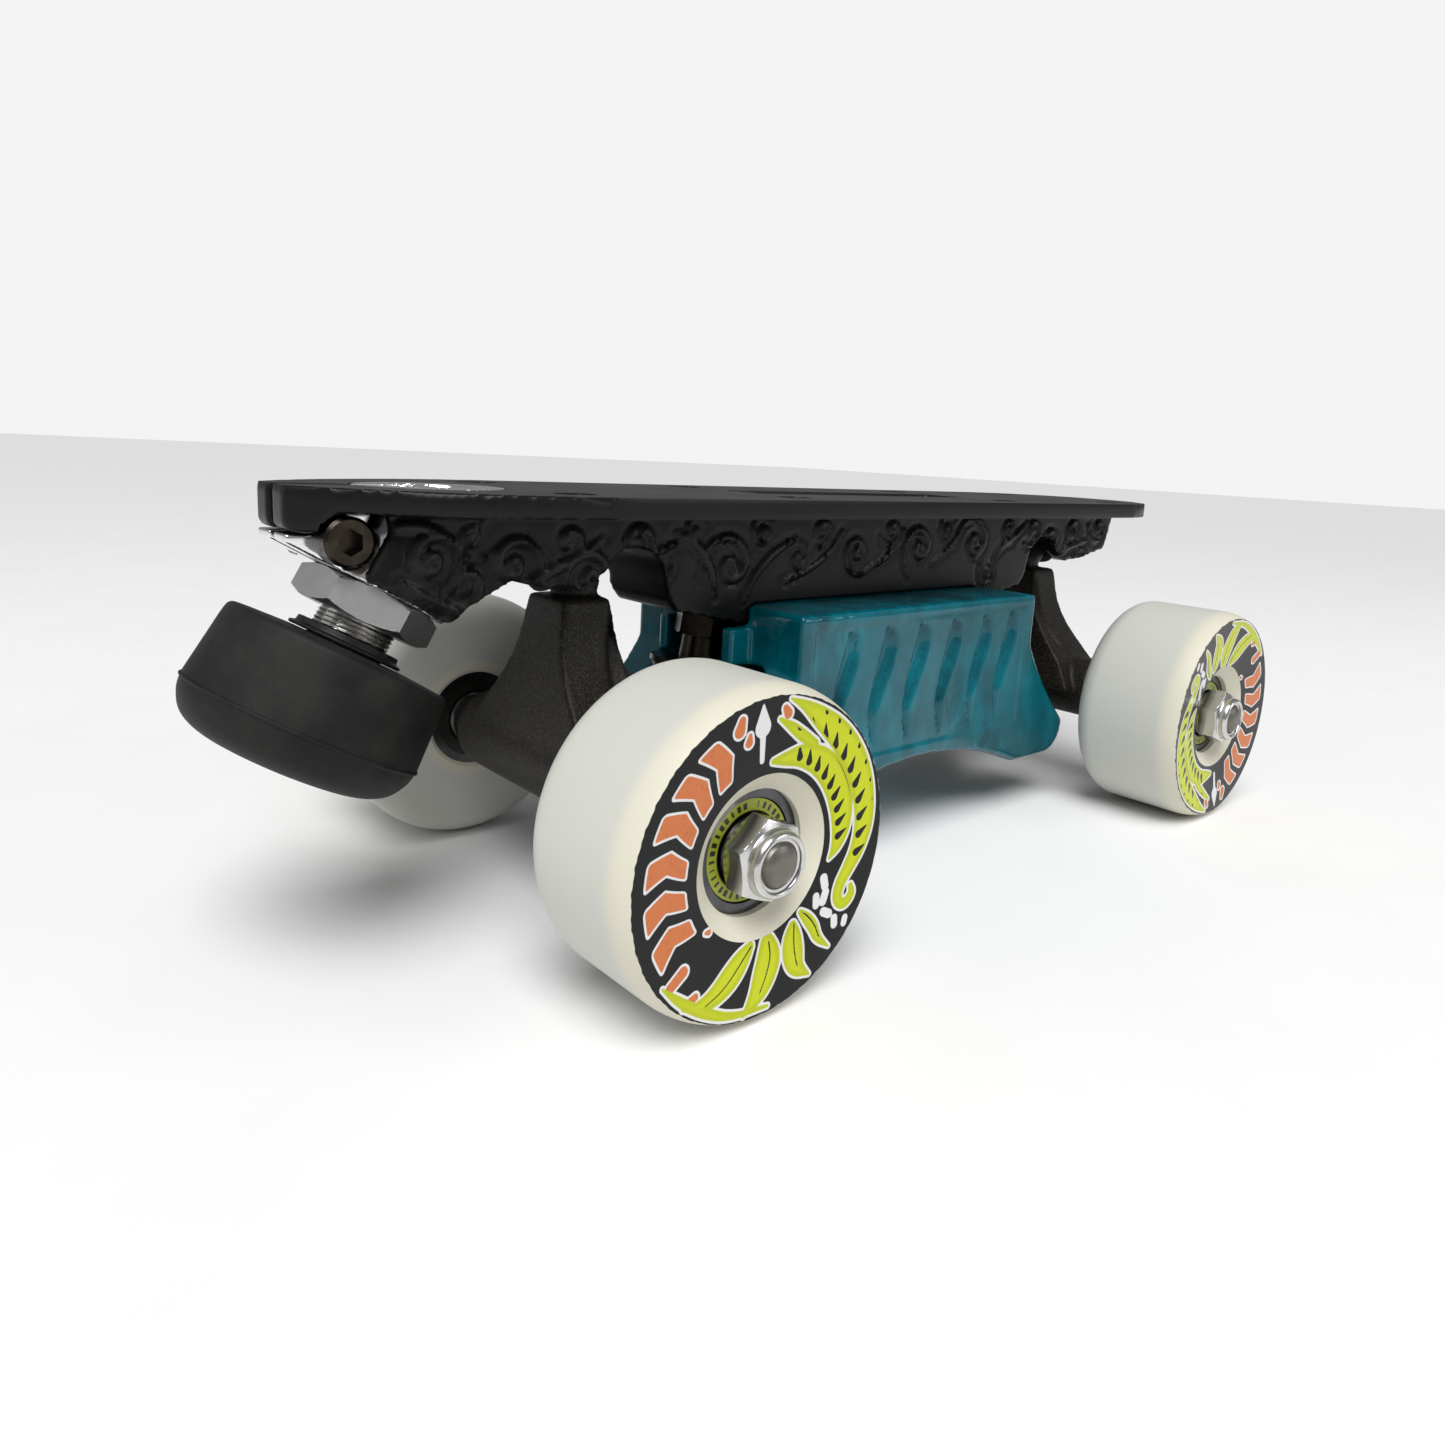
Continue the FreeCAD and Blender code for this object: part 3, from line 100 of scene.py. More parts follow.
class Wire:
    """A shader socket that takes part in arithmetic; each operation adds one Math node."""

    def __init__(self, shader: "Shader", socket: bpy.types.NodeSocket) -> None:
        """Wraps one output socket of a shader's node."""
        self.shader = shader
        self.socket = socket

    def _math(self, operation: str, *values: Value) -> "Wire":
        """Adds a Math node.

        Args:
            operation: The Math node's operation.
            values: Its inputs, in order.

        Returns:
            The node's result.
        """
        return self.shader.wire("ShaderNodeMath", {"operation": operation}, dict(enumerate(values)))

    def __add__(self, other: Value) -> "Wire":
        """Sum."""
        return self._math("ADD", self, other)

    __radd__ = __add__

    def __sub__(self, other: Value) -> "Wire":
        """Difference."""
        return self._math("SUBTRACT", self, other)

    def __rsub__(self, other: Value) -> "Wire":
        """Difference, from the other value."""
        return self._math("SUBTRACT", other, self)

    def __mul__(self, other: Value) -> "Wire":
        """Product."""
        return self._math("MULTIPLY", self, other)

    __rmul__ = __mul__

    def sine(self) -> "Wire":
        """Sine of the value in radians."""
        return self._math("SINE", self)

    def at_least(self, other: Value) -> "Wire":
        """The greater of two values."""
        return self._math("MAXIMUM", self, other)

    def at_most(self, other: Value) -> "Wire":
        """The smaller of two values."""
        return self._math("MINIMUM", self, other)

    def ease(self, low: float, high: float) -> "Wire":
        """Smooth step that runs from 0 at low to 1 at high.

        Args:
            low: Value at which the step starts.
            high: Value at which it ends.

        Returns:
            The step.
        """
        settings = {"interpolation_type": "SMOOTHSTEP"}
        return self.shader.wire("ShaderNodeMapRange", settings, {0: self, 1: low, 2: high, 3: 0.0, 4: 1.0})


class Shader:
    """A material with one Principled shader and short ways to add nodes to it."""

    def __init__(self, name: str) -> None:
        """Makes an empty node material of that name."""
        self.material = bpy.data.materials.new(name)
        self.material.use_nodes = True
        self.tree = self.material.node_tree
        self.tree.nodes.clear()
        output = self.tree.nodes.new("ShaderNodeOutputMaterial")
        self.surface = self.tree.nodes.new("ShaderNodeBsdfPrincipled")
        self.tree.links.new(self.surface.outputs[0], output.inputs[0])

    def node(self, kind: str, settings: Optional[dict] = None,
             values: Optional[dict] = None) -> bpy.types.Node:
        """Adds a node.

        Args:
            kind: Node type.
            settings: Properties set before the inputs.
            values: Inputs by index or name, as numbers, colours or wires.

        Returns:
            The node.
        """
        made = self.tree.nodes.new(kind)
        for key, setting in (settings or {}).items():
            setattr(made, key, setting)
        for key, value in (values or {}).items():
            if isinstance(value, Wire):
                self.tree.links.new(value.socket, made.inputs[key])
            else:
                made.inputs[key].default_value = value
        return made

    def wire(self, kind: str, settings: Optional[dict] = None, values: Optional[dict] = None,
             output: Union[int, str] = 0) -> Wire:
        """Adds a node and returns one of its outputs."""
        return Wire(self, self.node(kind, settings, values).outputs[output])

    def place(self) -> Wire:
        """Object coordinates, which are the chassis's own in metres."""
        return self.wire("ShaderNodeTexCoord", output="Object")

    def attribute(self, name: str) -> Wire:
        """A named number of the mesh's points."""
        return self.wire("ShaderNodeAttribute", {"attribute_name": name}, output="Fac")

    def noise(self, scale: float, detail: float = 3.0, roughness: float = 0.5,
              where: Optional[Wire] = None) -> Wire:
        """Fractal noise from 0 to 1; scale counts features per metre."""
        where = where or self.place()
        values = {"Vector": where, "Scale": scale, "Detail": detail, "Roughness": roughness}
        return self.wire("ShaderNodeTexNoise", {}, values)

    def stretch(self, scale: Sequence[float]) -> Wire:
        """Object coordinates scaled along each axis."""
        return self.wire("ShaderNodeMapping", {}, {"Vector": self.place(), "Scale": tuple(scale)})

    def mix(self, factor: Value, first: Union[Wire, tuple], second: Union[Wire, tuple]) -> Wire:
        """Colour between two colours."""
        values = {0: factor, 6: opaque(first), 7: opaque(second)}
        return self.wire("ShaderNodeMix", {"data_type": "RGBA"}, values, output=2)

    def bump(self, height: Wire, distance: float, strength: float) -> Wire:
        """Normal tilted by a height in the range 0 to 1 that stands for a distance in metres."""
        values = {"Height": height, "Distance": distance, "Strength": strength}
        return self.wire("ShaderNodeBump", {}, values)

    def finish(self, **sockets: Union[Wire, float, tuple]) -> bpy.types.Material:
        """Sets the shader's sockets, underscores standing for spaces, and returns the material."""
        for key, value in sockets.items():
            socket = self.surface.inputs[key.replace("_", " ")]
            if isinstance(value, Wire):
                self.tree.links.new(value.socket, socket)
            else:
                socket.default_value = opaque(value)
        return self.material


def opaque(colour: Union[Wire, float, tuple]) -> Union[Wire, float, tuple]:
    """Adds full opacity to a colour of three numbers and leaves anything else alone."""
    if isinstance(colour, tuple) and len(colour) == 3:
        return (*colour, 1.0)
    return colour


# --- meshes ---------------------------------------------------------------------------------------

@dataclass(frozen=True)
class Axis:
    """A line in space with two directions across it; it turns (radius, height, angle) into points.

    Attributes:
        origin: A point on the line, in millimetres.
        along: Unit direction of the line.
        across: Unit direction at angle 0.
    """

    origin: tuple
    along: tuple
    across: tuple

    def points(self, radius: np.ndarray, height: np.ndarray, angle: np.ndarray) -> np.ndarray:
        """Cylindrical coordinates to points: origin + height*along + radius*(cos*across + sin*third)."""
        along = np.array(self.along, float)
        across = np.array(self.across, float)
        third = np.cross(along, across)
        radius, height, angle = np.broadcast_arrays(radius, height, angle)
        round_part = np.cos(angle)[..., None] * across + np.sin(angle)[..., None] * third
        return np.array(self.origin) + height[..., None] * along + radius[..., None] * round_part


def rounded(corners: Sequence[tuple], steps: int = 5) -> np.ndarray:
    """Profile with arcs at its corners.

    Each corner (x, y, radius) is replaced by a curve that leaves one leg and joins the next one
    smoothly: points (1-t)^2*a + 2t(1-t)*corner + t^2*b between the two points a and b that lie one
    radius away from the corner, or half-way along a leg that is too short for that.

    Args:
        corners: Corners in order, each with its rounding length.
        steps: Points along each rounding.

    Returns:
        Array of points of shape (count, 2).
    """
    places = np.array([corner[:2] for corner in corners], float)
    stretches = []
    for index, (x, y, radius) in enumerate(corners):
        if radius == 0 or index in (0, len(corners) - 1):
            stretches.append(places[index:index + 1])
            continue
        legs = [places[index - 1] - places[index], places[index + 1] - places[index]]
        reach = [min(radius, np.linalg.norm(leg) * 0.5) / np.linalg.norm(leg) for leg in legs]
        start, end = (places[index] + leg * share for leg, share in zip(legs, reach))
        t = np.linspace(0.0, 1.0, steps)[:, None]
        stretches.append((1 - t) ** 2 * start + 2 * t * (1 - t) * places[index] + t ** 2 * end)
    return np.concatenate(stretches)


def grid_faces(rows: int, columns: int) -> np.ndarray:
    """Quads between neighbouring rows and columns of a grid whose last column joins its first."""
    index = np.arange(rows * columns).reshape(rows, columns)
    ahead = np.roll(index, -1, axis=1)
    return np.stack([index[:-1], ahead[:-1], ahead[1:], index[1:]], axis=-1).reshape(-1, 4)


@dataclass
class Surface:
    """Grids of points in millimetres, closed round their columns, that become one mesh piece.

    Attributes:
        name: Name of the piece.
        grids: Grids of shape (rows, columns, 3).
        values: Named numbers of each grid point, as one array per grid.
    """

    name: str
    grids: list = field(default_factory=list)
    values: dict = field(default_factory=dict)

    def add(self, grid: np.ndarray, **values: np.ndarray) -> "Surface":
        """Adds a grid with its named values and returns the surface."""
        self.grids.append(grid)
        for key, array in values.items():
            self.values.setdefault(key, []).append(np.broadcast_to(array, grid.shape[:2]))
        return self

    def build(self, material: bpy.types.Material) -> bpy.types.Object:
        """Puts the grids into a mesh in metres, closes its seams and poles, and faces it outwards.

        Args:
            material: Finish of the piece.

        Returns:
            The new object.
        """
        corners = np.concatenate([grid.reshape(-1, 3) for grid in self.grids]) * MM
        faces = []
        start = 0
        for grid in self.grids:
            rows, columns = grid.shape[:2]
            faces.append(grid_faces(rows, columns) + start)
            start += rows * columns
        mesh = bpy.data.meshes.new(self.name)
        mesh.from_pydata(corners, [], np.concatenate(faces))
        for key, arrays in self.values.items():
            give_values(mesh, key, np.concatenate([array.ravel() for array in arrays]))
        weld_mesh(mesh)
        return stand(self.name, mesh, material)


def give_values(mesh: bpy.types.Mesh, name: str, values: np.ndarray) -> None:
    """Stores one number for every point of a mesh, under a name that its finish reads."""
    attribute = mesh.attributes.new(name, "FLOAT", "POINT")
    attribute.data.foreach_set("value", values.astype(np.float32))


def weld_mesh(mesh: bpy.types.Mesh, distance: float = 2e-6) -> None:
    """Merges points that coincide, drops collapsed faces and points every face outwards."""
    work = bmesh.new()
    work.from_mesh(mesh)
    bmesh.ops.remove_doubles(work, verts=work.verts, dist=distance)
    bmesh.ops.dissolve_degenerate(work, edges=work.edges, dist=distance * 0.5)
    bmesh.ops.recalc_face_normals(work, faces=work.faces)
    work.to_mesh(mesh)
    work.free()


def add_object(name: str, data: bpy.types.ID) -> bpy.types.Object:
    """Makes an object of some data and links it to the scene."""
    made = bpy.data.objects.new(name, data)
    bpy.context.scene.collection.objects.link(made)
    return made


def stand(name: str, mesh: bpy.types.Mesh, material: bpy.types.Material,
          sharp: float = 32.0) -> bpy.types.Object:
    """Makes an object of a mesh, smooth apart from edges sharper than an angle in degrees."""
    mesh.materials.append(material)
    piece = add_object(name, mesh)
    mesh.shade_smooth()
    mesh.set_sharp_from_angle(angle=math.radians(sharp))
    LOG.info("%s: %d faces", name, len(mesh.polygons))
    return piece


def settle(piece: bpy.types.Object, body: str, slot: str, *nodes: str) -> None:
    """Rides a piece on a CAD body and hides the CAD nodes that it stands for."""
    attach(piece, body)
    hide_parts(*nodes)


def full_turn(segments: int) -> np.ndarray:
    """Row of evenly spaced angles round one turn, in radians."""
    return np.linspace(0.0, 2 * np.pi, segments, endpoint=False)[None, :]


def turned(name: str, axis: Axis, profile: np.ndarray, material: bpy.types.Material,
           segments: int) -> bpy.types.Object:
    """Solid of revolution: every profile point (radius, height) carried round the axis."""
    grid = axis.points(profile[:, :1], profile[:, 1:2], full_turn(segments))
    return Surface(name).add(grid).build(material)


def hexagonal(axis: Axis, across: float, profile: np.ndarray) -> np.ndarray:
    """Grid of a hexagonal bar cut by a turned profile.

    The radius is the smaller of the profile's radius and of the hexagon's, which is half the size
    across flats divided by the cosine of the angle to the nearest flat.
    """
    angle = full_turn(HEX_SEGMENTS)
    to_flat = np.mod(angle + np.pi / 6, np.pi / 3) - np.pi / 6
    radius = np.minimum(profile[:, :1], across / 2 / np.cos(to_flat))
    return axis.points(radius, profile[:, 1:2], angle)


@dataclass(frozen=True)
class MouldedCopy:
    """A CAD node's solid with its edges eased, as casting and moulding leave them.

    Attributes:
        voxel: Cell of the even mesh that is wrapped round the solid, in millimetres.
        passes: Times that every point moves half-way to the mean of its neighbours.
    """

    node: str
    name: str
    voxel: float
    passes: int

    def build(self, material: bpy.types.Material, relief: Optional[Relief] = None) -> bpy.types.Object:
        """Wraps, smooths and then shapes the copy.

        Args:
            material: Finish of the piece.
            relief: Gives each point's new place from all points and normals, in millimetres.

        Returns:
            The new object.
        """
        source = frame["nodes"][self.node].data.copy()
        weld_mesh(source, 1e-5)
        holder = add_object(f"{self.name}_source", source)
        wrap = holder.modifiers.new("wrap", "REMESH")
        wrap.mode = "VOXEL"
        wrap.voxel_size = self.voxel * MM
        ease = holder.modifiers.new("ease", "SMOOTH")
        ease.iterations = self.passes
        ease.factor = 0.5
        graph = bpy.context.evaluated_depsgraph_get()
        mesh = bpy.data.meshes.new_from_object(holder.evaluated_get(graph))
        bpy.data.objects.remove(holder)
        mesh.name = self.name
        mesh.materials.clear()
        if relief is not None:
            move_points(mesh, relief)
        return stand(self.name, mesh, material, 60.0)


def read_vectors(mesh: bpy.types.Mesh, what: str) -> np.ndarray:
    """One vector of every point of a mesh: "co", its place in metres, or "normal"."""
    vectors = np.empty(len(mesh.vertices) * 3)
    mesh.vertices.foreach_get(what, vectors)
    return vectors.reshape(-1, 3)


def move_points(mesh: bpy.types.Mesh, relief: Relief) -> None:
    """Moves all points of a mesh at once by a rule on their places in millimetres and normals."""
    moved = relief(read_vectors(mesh, "co") / MM, read_vectors(mesh, "normal"))
    mesh.vertices.foreach_set("co", (moved * MM).ravel())
    mesh.update()


def step(value: np.ndarray, low: float, high: float) -> np.ndarray:
    """Smooth step that runs from 0 at low to 1 at high."""
    t = np.clip((value - low) / (high - low), 0.0, 1.0)
    return t * t * (3 - 2 * t)


def subdivide(profile: np.ndarray, longest: float) -> np.ndarray:
    """Splits every leg of a profile evenly so that none is longer than a limit; the corners stay."""
    lengths = np.hypot(*(profile[1:] - profile[:-1]).T)
    counts = np.maximum(np.ceil(lengths / longest), 1).astype(int)
    marks = np.concatenate([[0.0], np.cumsum(np.repeat(1.0 / counts, counts))])
    index = np.arange(len(profile))
    return np.stack([np.interp(marks, index, profile[:, 0]), np.interp(marks, index, profile[:, 1])],
                    axis=1)


# --- drawn strokes --------------------------------------------------------------------------------

def corner_cut(path: np.ndarray, rounds: int = 3) -> np.ndarray:
    """Eases a path: each leg a-b becomes the points 3/4 a + 1/4 b and 1/4 a + 3/4 b."""
    for _ in range(rounds):
        ahead = path[:-1] * 0.75 + path[1:] * 0.25
        behind = path[:-1] * 0.25 + path[1:] * 0.75
        inside = np.stack([ahead, behind], axis=1).reshape(-1, path.shape[1])
        path = np.concatenate([path[:1], inside, path[-1:]])
    return path


def stroke_distance(u: np.ndarray, v: np.ndarray, paths: Sequence[np.ndarray]) -> np.ndarray:
    """Signed distance to tapering strokes.

    For each leg of a path the nearest point at share t of the leg is found, and the distance to it
    has the stroke's half-width at t taken off; the least of all legs is the result, so it is below 0
    inside a stroke.

    Args:
        u: First coordinate of the points.
        v: Second coordinate of the points.
        paths: Paths of rows (u, v, half-width).

    Returns:
        Signed distance of every point, in millimetres.
    """
    nearest = np.full(np.shape(u), 50.0)
    for path in paths:
        for start, end in zip(path[:-1], path[1:]):
            leg = end - start
            length = max(leg[0] ** 2 + leg[1] ** 2, 1e-9)
            t = np.clip(((u - start[0]) * leg[0] + (v - start[1]) * leg[1]) / length, 0.0, 1.0)
            away = np.hypot(u - start[0] - t * leg[0], v - start[1] - t * leg[1])
            nearest = np.minimum(nearest, away - start[2] - t * leg[2])
    return nearest


def polar_path(*points: tuple) -> np.ndarray:
    """Eased path through points given as radius, angle in degrees and half-width."""
    radius, angle, width = np.array(points, float).T
    angle = np.radians(angle)
    return corner_cut(np.stack([radius * np.cos(angle), radius * np.sin(angle), width], axis=1))


def curl(x: float, z: float, radius: float, start: float, hand: float) -> np.ndarray:
    """Scroll with a tail: a spiral whose radius is the given one times exp(-1.95*t) as it winds in.

    Args:
        x: First coordinate of the eye.
        z: Second coordinate of the eye.
        radius: Outer radius.
        start: Angle in degrees at which the tail leaves.
        hand: 1 winds one way and -1 the other.

    Returns:
        Path of rows (u, v, half-width).
    """
    turns = 1.35
    t = np.linspace(-0.28, 1.0, 30)
    angle = np.radians(start) + hand * 2 * np.pi * turns * t
    reach = radius * np.exp(-1.95 * t)
    width = np.interp(t, [-0.28, 0.1, 0.8, 1.0], [0.1, 0.62, 0.45, 0.62]) * radius / 4.0
    return np.stack([x + reach * np.cos(angle), z + reach * np.sin(angle), width], axis=1)


@dataclass(frozen=True)
class WheelPrint:
    """Print on a wheel's face: slanted blocks, coiling ribbons, leaves, a spear and dashes on black.

    Attributes:
        turn: Angle in degrees by which the print is turned on its wheel.
    """

    turn: float

    RIBBONS = (
        ((26.9, 84, 0.2), (26.0, 76, 0.9), (24.9, 66, 1.9), (24.4, 52, 2.6), (24.3, 36, 2.7),
         (24.1, 20, 2.6), (23.8, 4, 2.3), (22.8, -8, 1.8), (21.4, -18, 1.4), (20.6, -27, 1.2),
         (21.6, -34, 1.1), (23.8, -34, 1.0), (24.6, -28, 0.9), (23.4, -25, 0.5)),
        ((16.4, 88, 0.5), (16.8, 78, 1.3), (18.1, 66, 2.1), (18.9, 50, 2.7), (18.9, 34, 2.8),
         (18.7, 18, 2.7), (18.2, 4, 2.1), (17.4, -6, 1.2), (16.2, -14, 0.2)),
        ((23.6, 88, 0.3), (22.2, 80, 0.9), (21.0, 72, 1.1), (20.4, 62, 0.9)),
        ((15.2, 262, 0.9), (17.4, 256, 2.0), (20.0, 251, 2.4), (22.6, 246, 2.0), (25.0, 240, 1.3),
         (26.8, 231, 0.2)),
        ((15.6, 277, 1.6), (18.4, 277, 2.8), (21.2, 273, 2.7), (23.8, 269, 1.9), (26.8, 262, 0.3)),
        ((16.0, 299, 0.8), (18.0, 295, 2.1), (20.6, 292, 2.5), (23.4, 291, 1.7), (26.6, 296, 0.2)),
        ((15.4, 308, 0.5), (17.4, 309, 1.1), (19.8, 309, 1.2), (22.4, 307, 0.9), (25.8, 309, 0.2)),
        ((26.3, 217, 0.2), (26.0, 228, 0.9), (26.1, 242, 1.0), (26.6, 256, 0.7), (26.6, 274, 0.3)),
    )
    BLOCKS = (205.0, 188.0, 171.0, 154.0, 138.0, 122.0)
    BLOCK_RADIUS = 20.9
    BLOCK_SHIFT = 0.9
    BLOCK_SHEAR = 0.42
    BLOCK_HALF_ALONG = 1.35
    BLOCK_HALF_ACROSS = 3.7
    BLOCK_CORNER = 0.35
    DROPS = (((24.0, 109, 1.1), (25.6, 107, 0.7)), ((21.2, 105, 0.8), (22.4, 104, 0.4)),
             ((24.4, 84, 0.9), (25.4, 86, 0.6)), ((22.2, 221, 1.0), (25.4, 220, 0.9)),
             ((24.2, 234, 0.7), (26.2, 231, 0.7)), ((14.9, 221, 0.5), (15.4, 219, 0.3)))
    SPEAR = (((17.0, 97, 0.5), (20.6, 97, 0.6), (23.2, 97, 0.7)), ((22.8, 97, 1.7), (26.9, 97, 0.1)))
    DASHES = (((16.4, -26, 0.85), (17.4, -30, 0.85)), ((18.2, -33, 0.85), (18.6, -38, 0.85)),
              ((16.6, -38, 0.75), (17.6, -42, 0.75)), ((20.0, -42, 0.85), (21.4, -41, 0.85)),
              ((23.2, -41, 0.8), (24.0, -43, 0.8)), ((25.6, -38, 0.7), (26.0, -40, 0.7)))

    def _blocks(self, u: np.ndarray, v: np.ndarray) -> np.ndarray:
        """Signed distance to the slanted blocks.

        A block is a box in arc length and radius about its middle, bent by a share of the radial
        offset's size, with its corners rounded.
        """
        radius = np.hypot(u, v)
        angle = np.arctan2(v, u)
        nearest = np.full(u.shape, 50.0)
        for middle in self.BLOCKS:
            swing = np.mod(angle - math.radians(middle) + np.pi, 2 * np.pi) - np.pi
            rise = radius - self.BLOCK_RADIUS
            bent = swing * self.BLOCK_RADIUS - self.BLOCK_SHEAR * np.abs(rise) + self.BLOCK_SHIFT
            along = np.abs(bent) - self.BLOCK_HALF_ALONG
            across = np.abs(rise) - self.BLOCK_HALF_ACROSS
            outside = np.hypot(np.maximum(along, 0), np.maximum(across, 0))
            inside = np.minimum(np.maximum(along, across), 0)
            nearest = np.minimum(nearest, outside + inside - self.BLOCK_CORNER)
        return nearest

    def _ink(self, u: np.ndarray, v: np.ndarray) -> np.ndarray:
        """Signed distance to the dark marks: teeth along the ribbons' edges and veins on the leaves."""
        marks = []
        for low, high, radius, drop in ((-10, 80, 22.4, 0.75), (0, 72, 17.4, 0.7), (4, 70, 25.9, 0.35)):
            for angle in np.arange(low, high, 8.5):
                marks.append(polar_path((radius, angle, drop), (radius + 1.9, angle + 3.4, 0.12)))
        marks.append(polar_path((21.9, 66, 0.1), (21.6, 48, 0.3), (21.5, 30, 0.34), (21.3, 12, 0.3),
                                (20.6, -6, 0.1)))
        for ribbon in self.RIBBONS[3:7]:
            marks.append(polar_path(*((r, a + 1.2, 0.16) for r, a, _ in ribbon[:-1])))
        return stroke_distance(u, v, marks)

    def values(self, u: np.ndarray, v: np.ndarray) -> dict:
        """Signed distances to each colour of the print.

        Args:
            u: Coordinate to the right, seen from outside, in millimetres.
            v: Coordinate up.

        Returns:
            Arrays by name: lime, orange, white and ink.
        """
        turn = math.radians(self.turn)
        side = u * math.cos(turn) + v * math.sin(turn)
        rise = v * math.cos(turn) - u * math.sin(turn)
        lime = stroke_distance(side, rise, [polar_path(*ribbon) for ribbon in self.RIBBONS])
        drops = stroke_distance(side, rise, [polar_path(*drop) for drop in self.DROPS])
        orange = np.minimum(self._blocks(side, rise), drops)
        white = stroke_distance(side, rise, [polar_path(*mark) for mark in self.SPEAR + self.DASHES])
        return {"lime": lime, "orange": orange, "white": white, "ink": self._ink(side, rise)}


# --- finishes -------------------------------------------------------------------------------------

@dataclass(frozen=True)
class MouldedPlastic:
    """Moulded or cast polymer: fine skin texture, slow tone drift and faint scuffs."""

    name: str
    colour: tuple
    scuff: tuple
    roughness: float = 0.35
    grain: float = 9000.0
    grain_height: float = 0.00002
    specular: float = 0.5

    def material(self) -> bpy.types.Material:
        """Builds the material."""
        shader = Shader(self.name)
        drift = shader.noise(35.0, 4.0)
        fine = shader.noise(self.grain, 2.0)
        scratches = shader.noise(900.0, 5.0, 0.7, shader.stretch((1.0, 1.0, 6.0))).ease(0.62, 0.75)
        colour = shader.mix(scratches * 0.35 + drift * 0.25, self.colour, self.scuff)
        rough = self.roughness + (drift - 0.5) * 0.16 + scratches * 0.12
        return shader.finish(Base_Color=colour, Roughness=rough, Specular_IOR_Level=self.specular,
                             Normal=shader.bump(fine, self.grain_height, 0.6))


@dataclass(frozen=True)
class Metal:
    """Turned, plated or brushed metal: directional lines, stains and a little roughness drift."""

    name: str
    colour: tuple
    stain: tuple
    roughness: float = 0.25
    lines: tuple = (60.0, 60.0, 60.0)
    line_height: float = 0.00001

    def material(self) -> bpy.types.Material:
        """Builds the material."""
        shader = Shader(self.name)
        streak = shader.noise(100.0, 3.0, 0.6, shader.stretch(self.lines))
        cloud = shader.noise(260.0, 4.0)
        colour = shader.mix(cloud.ease(0.4, 0.75) * 0.5, self.colour, self.stain)
        rough = self.roughness + (streak - 0.5) * 0.18 + cloud.ease(0.5, 0.8) * 0.1
        return shader.finish(Base_Color=colour, Metallic=1.0, Roughness=rough,
                             Normal=shader.bump(streak, self.line_height, 0.5))


@dataclass(frozen=True)
class ReliefNylon:
    """Black moulded nylon whose sculpted ribs are rubbed a little lighter on their crests."""

    name: str = "sculpted_nylon"
    black: tuple = (0.0045, 0.0045, 0.005)
    rubbed: tuple = (0.018, 0.018, 0.019)
    roughness: float = 0.33

    def material(self) -> bpy.types.Material:
        """Builds the material."""
        shader = Shader(self.name)
        crest = 1.0 - shader.attribute("relief").ease(-0.4, 0.3)
        drift = shader.noise(45.0, 4.0)
        scratches = shader.noise(700.0, 5.0, 0.7, shader.stretch((1.0, 5.0, 5.0))).ease(0.6, 0.78)
        skin = shader.noise(2600.0, 3.0)
        colour = shader.mix(crest * 0.45 + scratches * 0.4 + drift * 0.2, self.black, self.rubbed)
        rough = self.roughness + (drift - 0.5) * 0.2 - crest * 0.05 + scratches * 0.12
        return shader.finish(Base_Color=colour, Roughness=rough, Specular_IOR_Level=0.2,
                             Normal=shader.bump(skin, 0.00003, 0.5))


@dataclass(frozen=True)
class GrittyPowder:
    """Charcoal powder coat: orange-peel grain of two sizes with a warm glitter."""

    name: str = "gritty_powder"
    dark: tuple = (0.006, 0.0056, 0.005)
    light: tuple = (0.085, 0.074, 0.056)

    def material(self) -> bpy.types.Material:
        """Builds the material."""
        shader = Shader(self.name)
        grit = shader.noise(2500.0, 3.0, 0.65)
        peel = shader.noise(900.0, 2.0)
        drift = shader.noise(60.0, 3.0)
        colour = shader.mix(grit.ease(0.46, 0.72) * 0.75 + drift * 0.12, self.dark, self.light)
        rough = 0.46 + (grit - 0.5) * 0.3 + (drift - 0.5) * 0.1
        return shader.finish(Base_Color=colour, Roughness=rough, Metallic=0.15, Specular_IOR_Level=0.22,
                             Normal=shader.bump(grit * 0.7 + peel * 0.5, 0.00016, 0.7))


@dataclass(frozen=True)
class JellyUrethane:
    """Clear tinted urethane: glossy, its tone drifting in broad clouds with faint wisps inside, and painted
    shade darkening its flutes.
    """

    name: str = "tinted_urethane"
    # The deep colour serves both the random drift of tone and the painted shade in the flutes.
    deep_tone_and_shade: tuple = (0.0, 0.055, 0.08)
    bright: tuple = (0.0, 0.21, 0.27)

    def material(self) -> bpy.types.Material:
        """Builds the material."""
        shader = Shader(self.name)
        cloud = shader.noise(38.0, 3.0, 0.55)
        wisp = shader.noise(140.0, 4.0, 0.6, shader.stretch((1.0, 1.0, 0.35)))
        ripple = shader.noise(220.0, 2.0)
        # Painted shade: the flutes are darkened towards the deep colour, as shade in their recesses.
        groove = 1.0 - shader.attribute("flute").ease(-1.6, 0.4)
        tone = cloud.ease(0.3, 0.7) * 0.6 + wisp.ease(0.45, 0.7) * 0.35 - groove * 0.5
        colour = shader.mix(tone.at_least(0.0).at_most(1.0), self.deep_tone_and_shade, self.bright)
        rough = 0.06 + wisp * 0.08
        return shader.finish(Base_Color=colour, Roughness=rough, IOR=1.5, Transmission_Weight=0.12,
                             Specular_IOR_Level=0.42, Normal=shader.bump(ripple, 0.0004, 0.5))


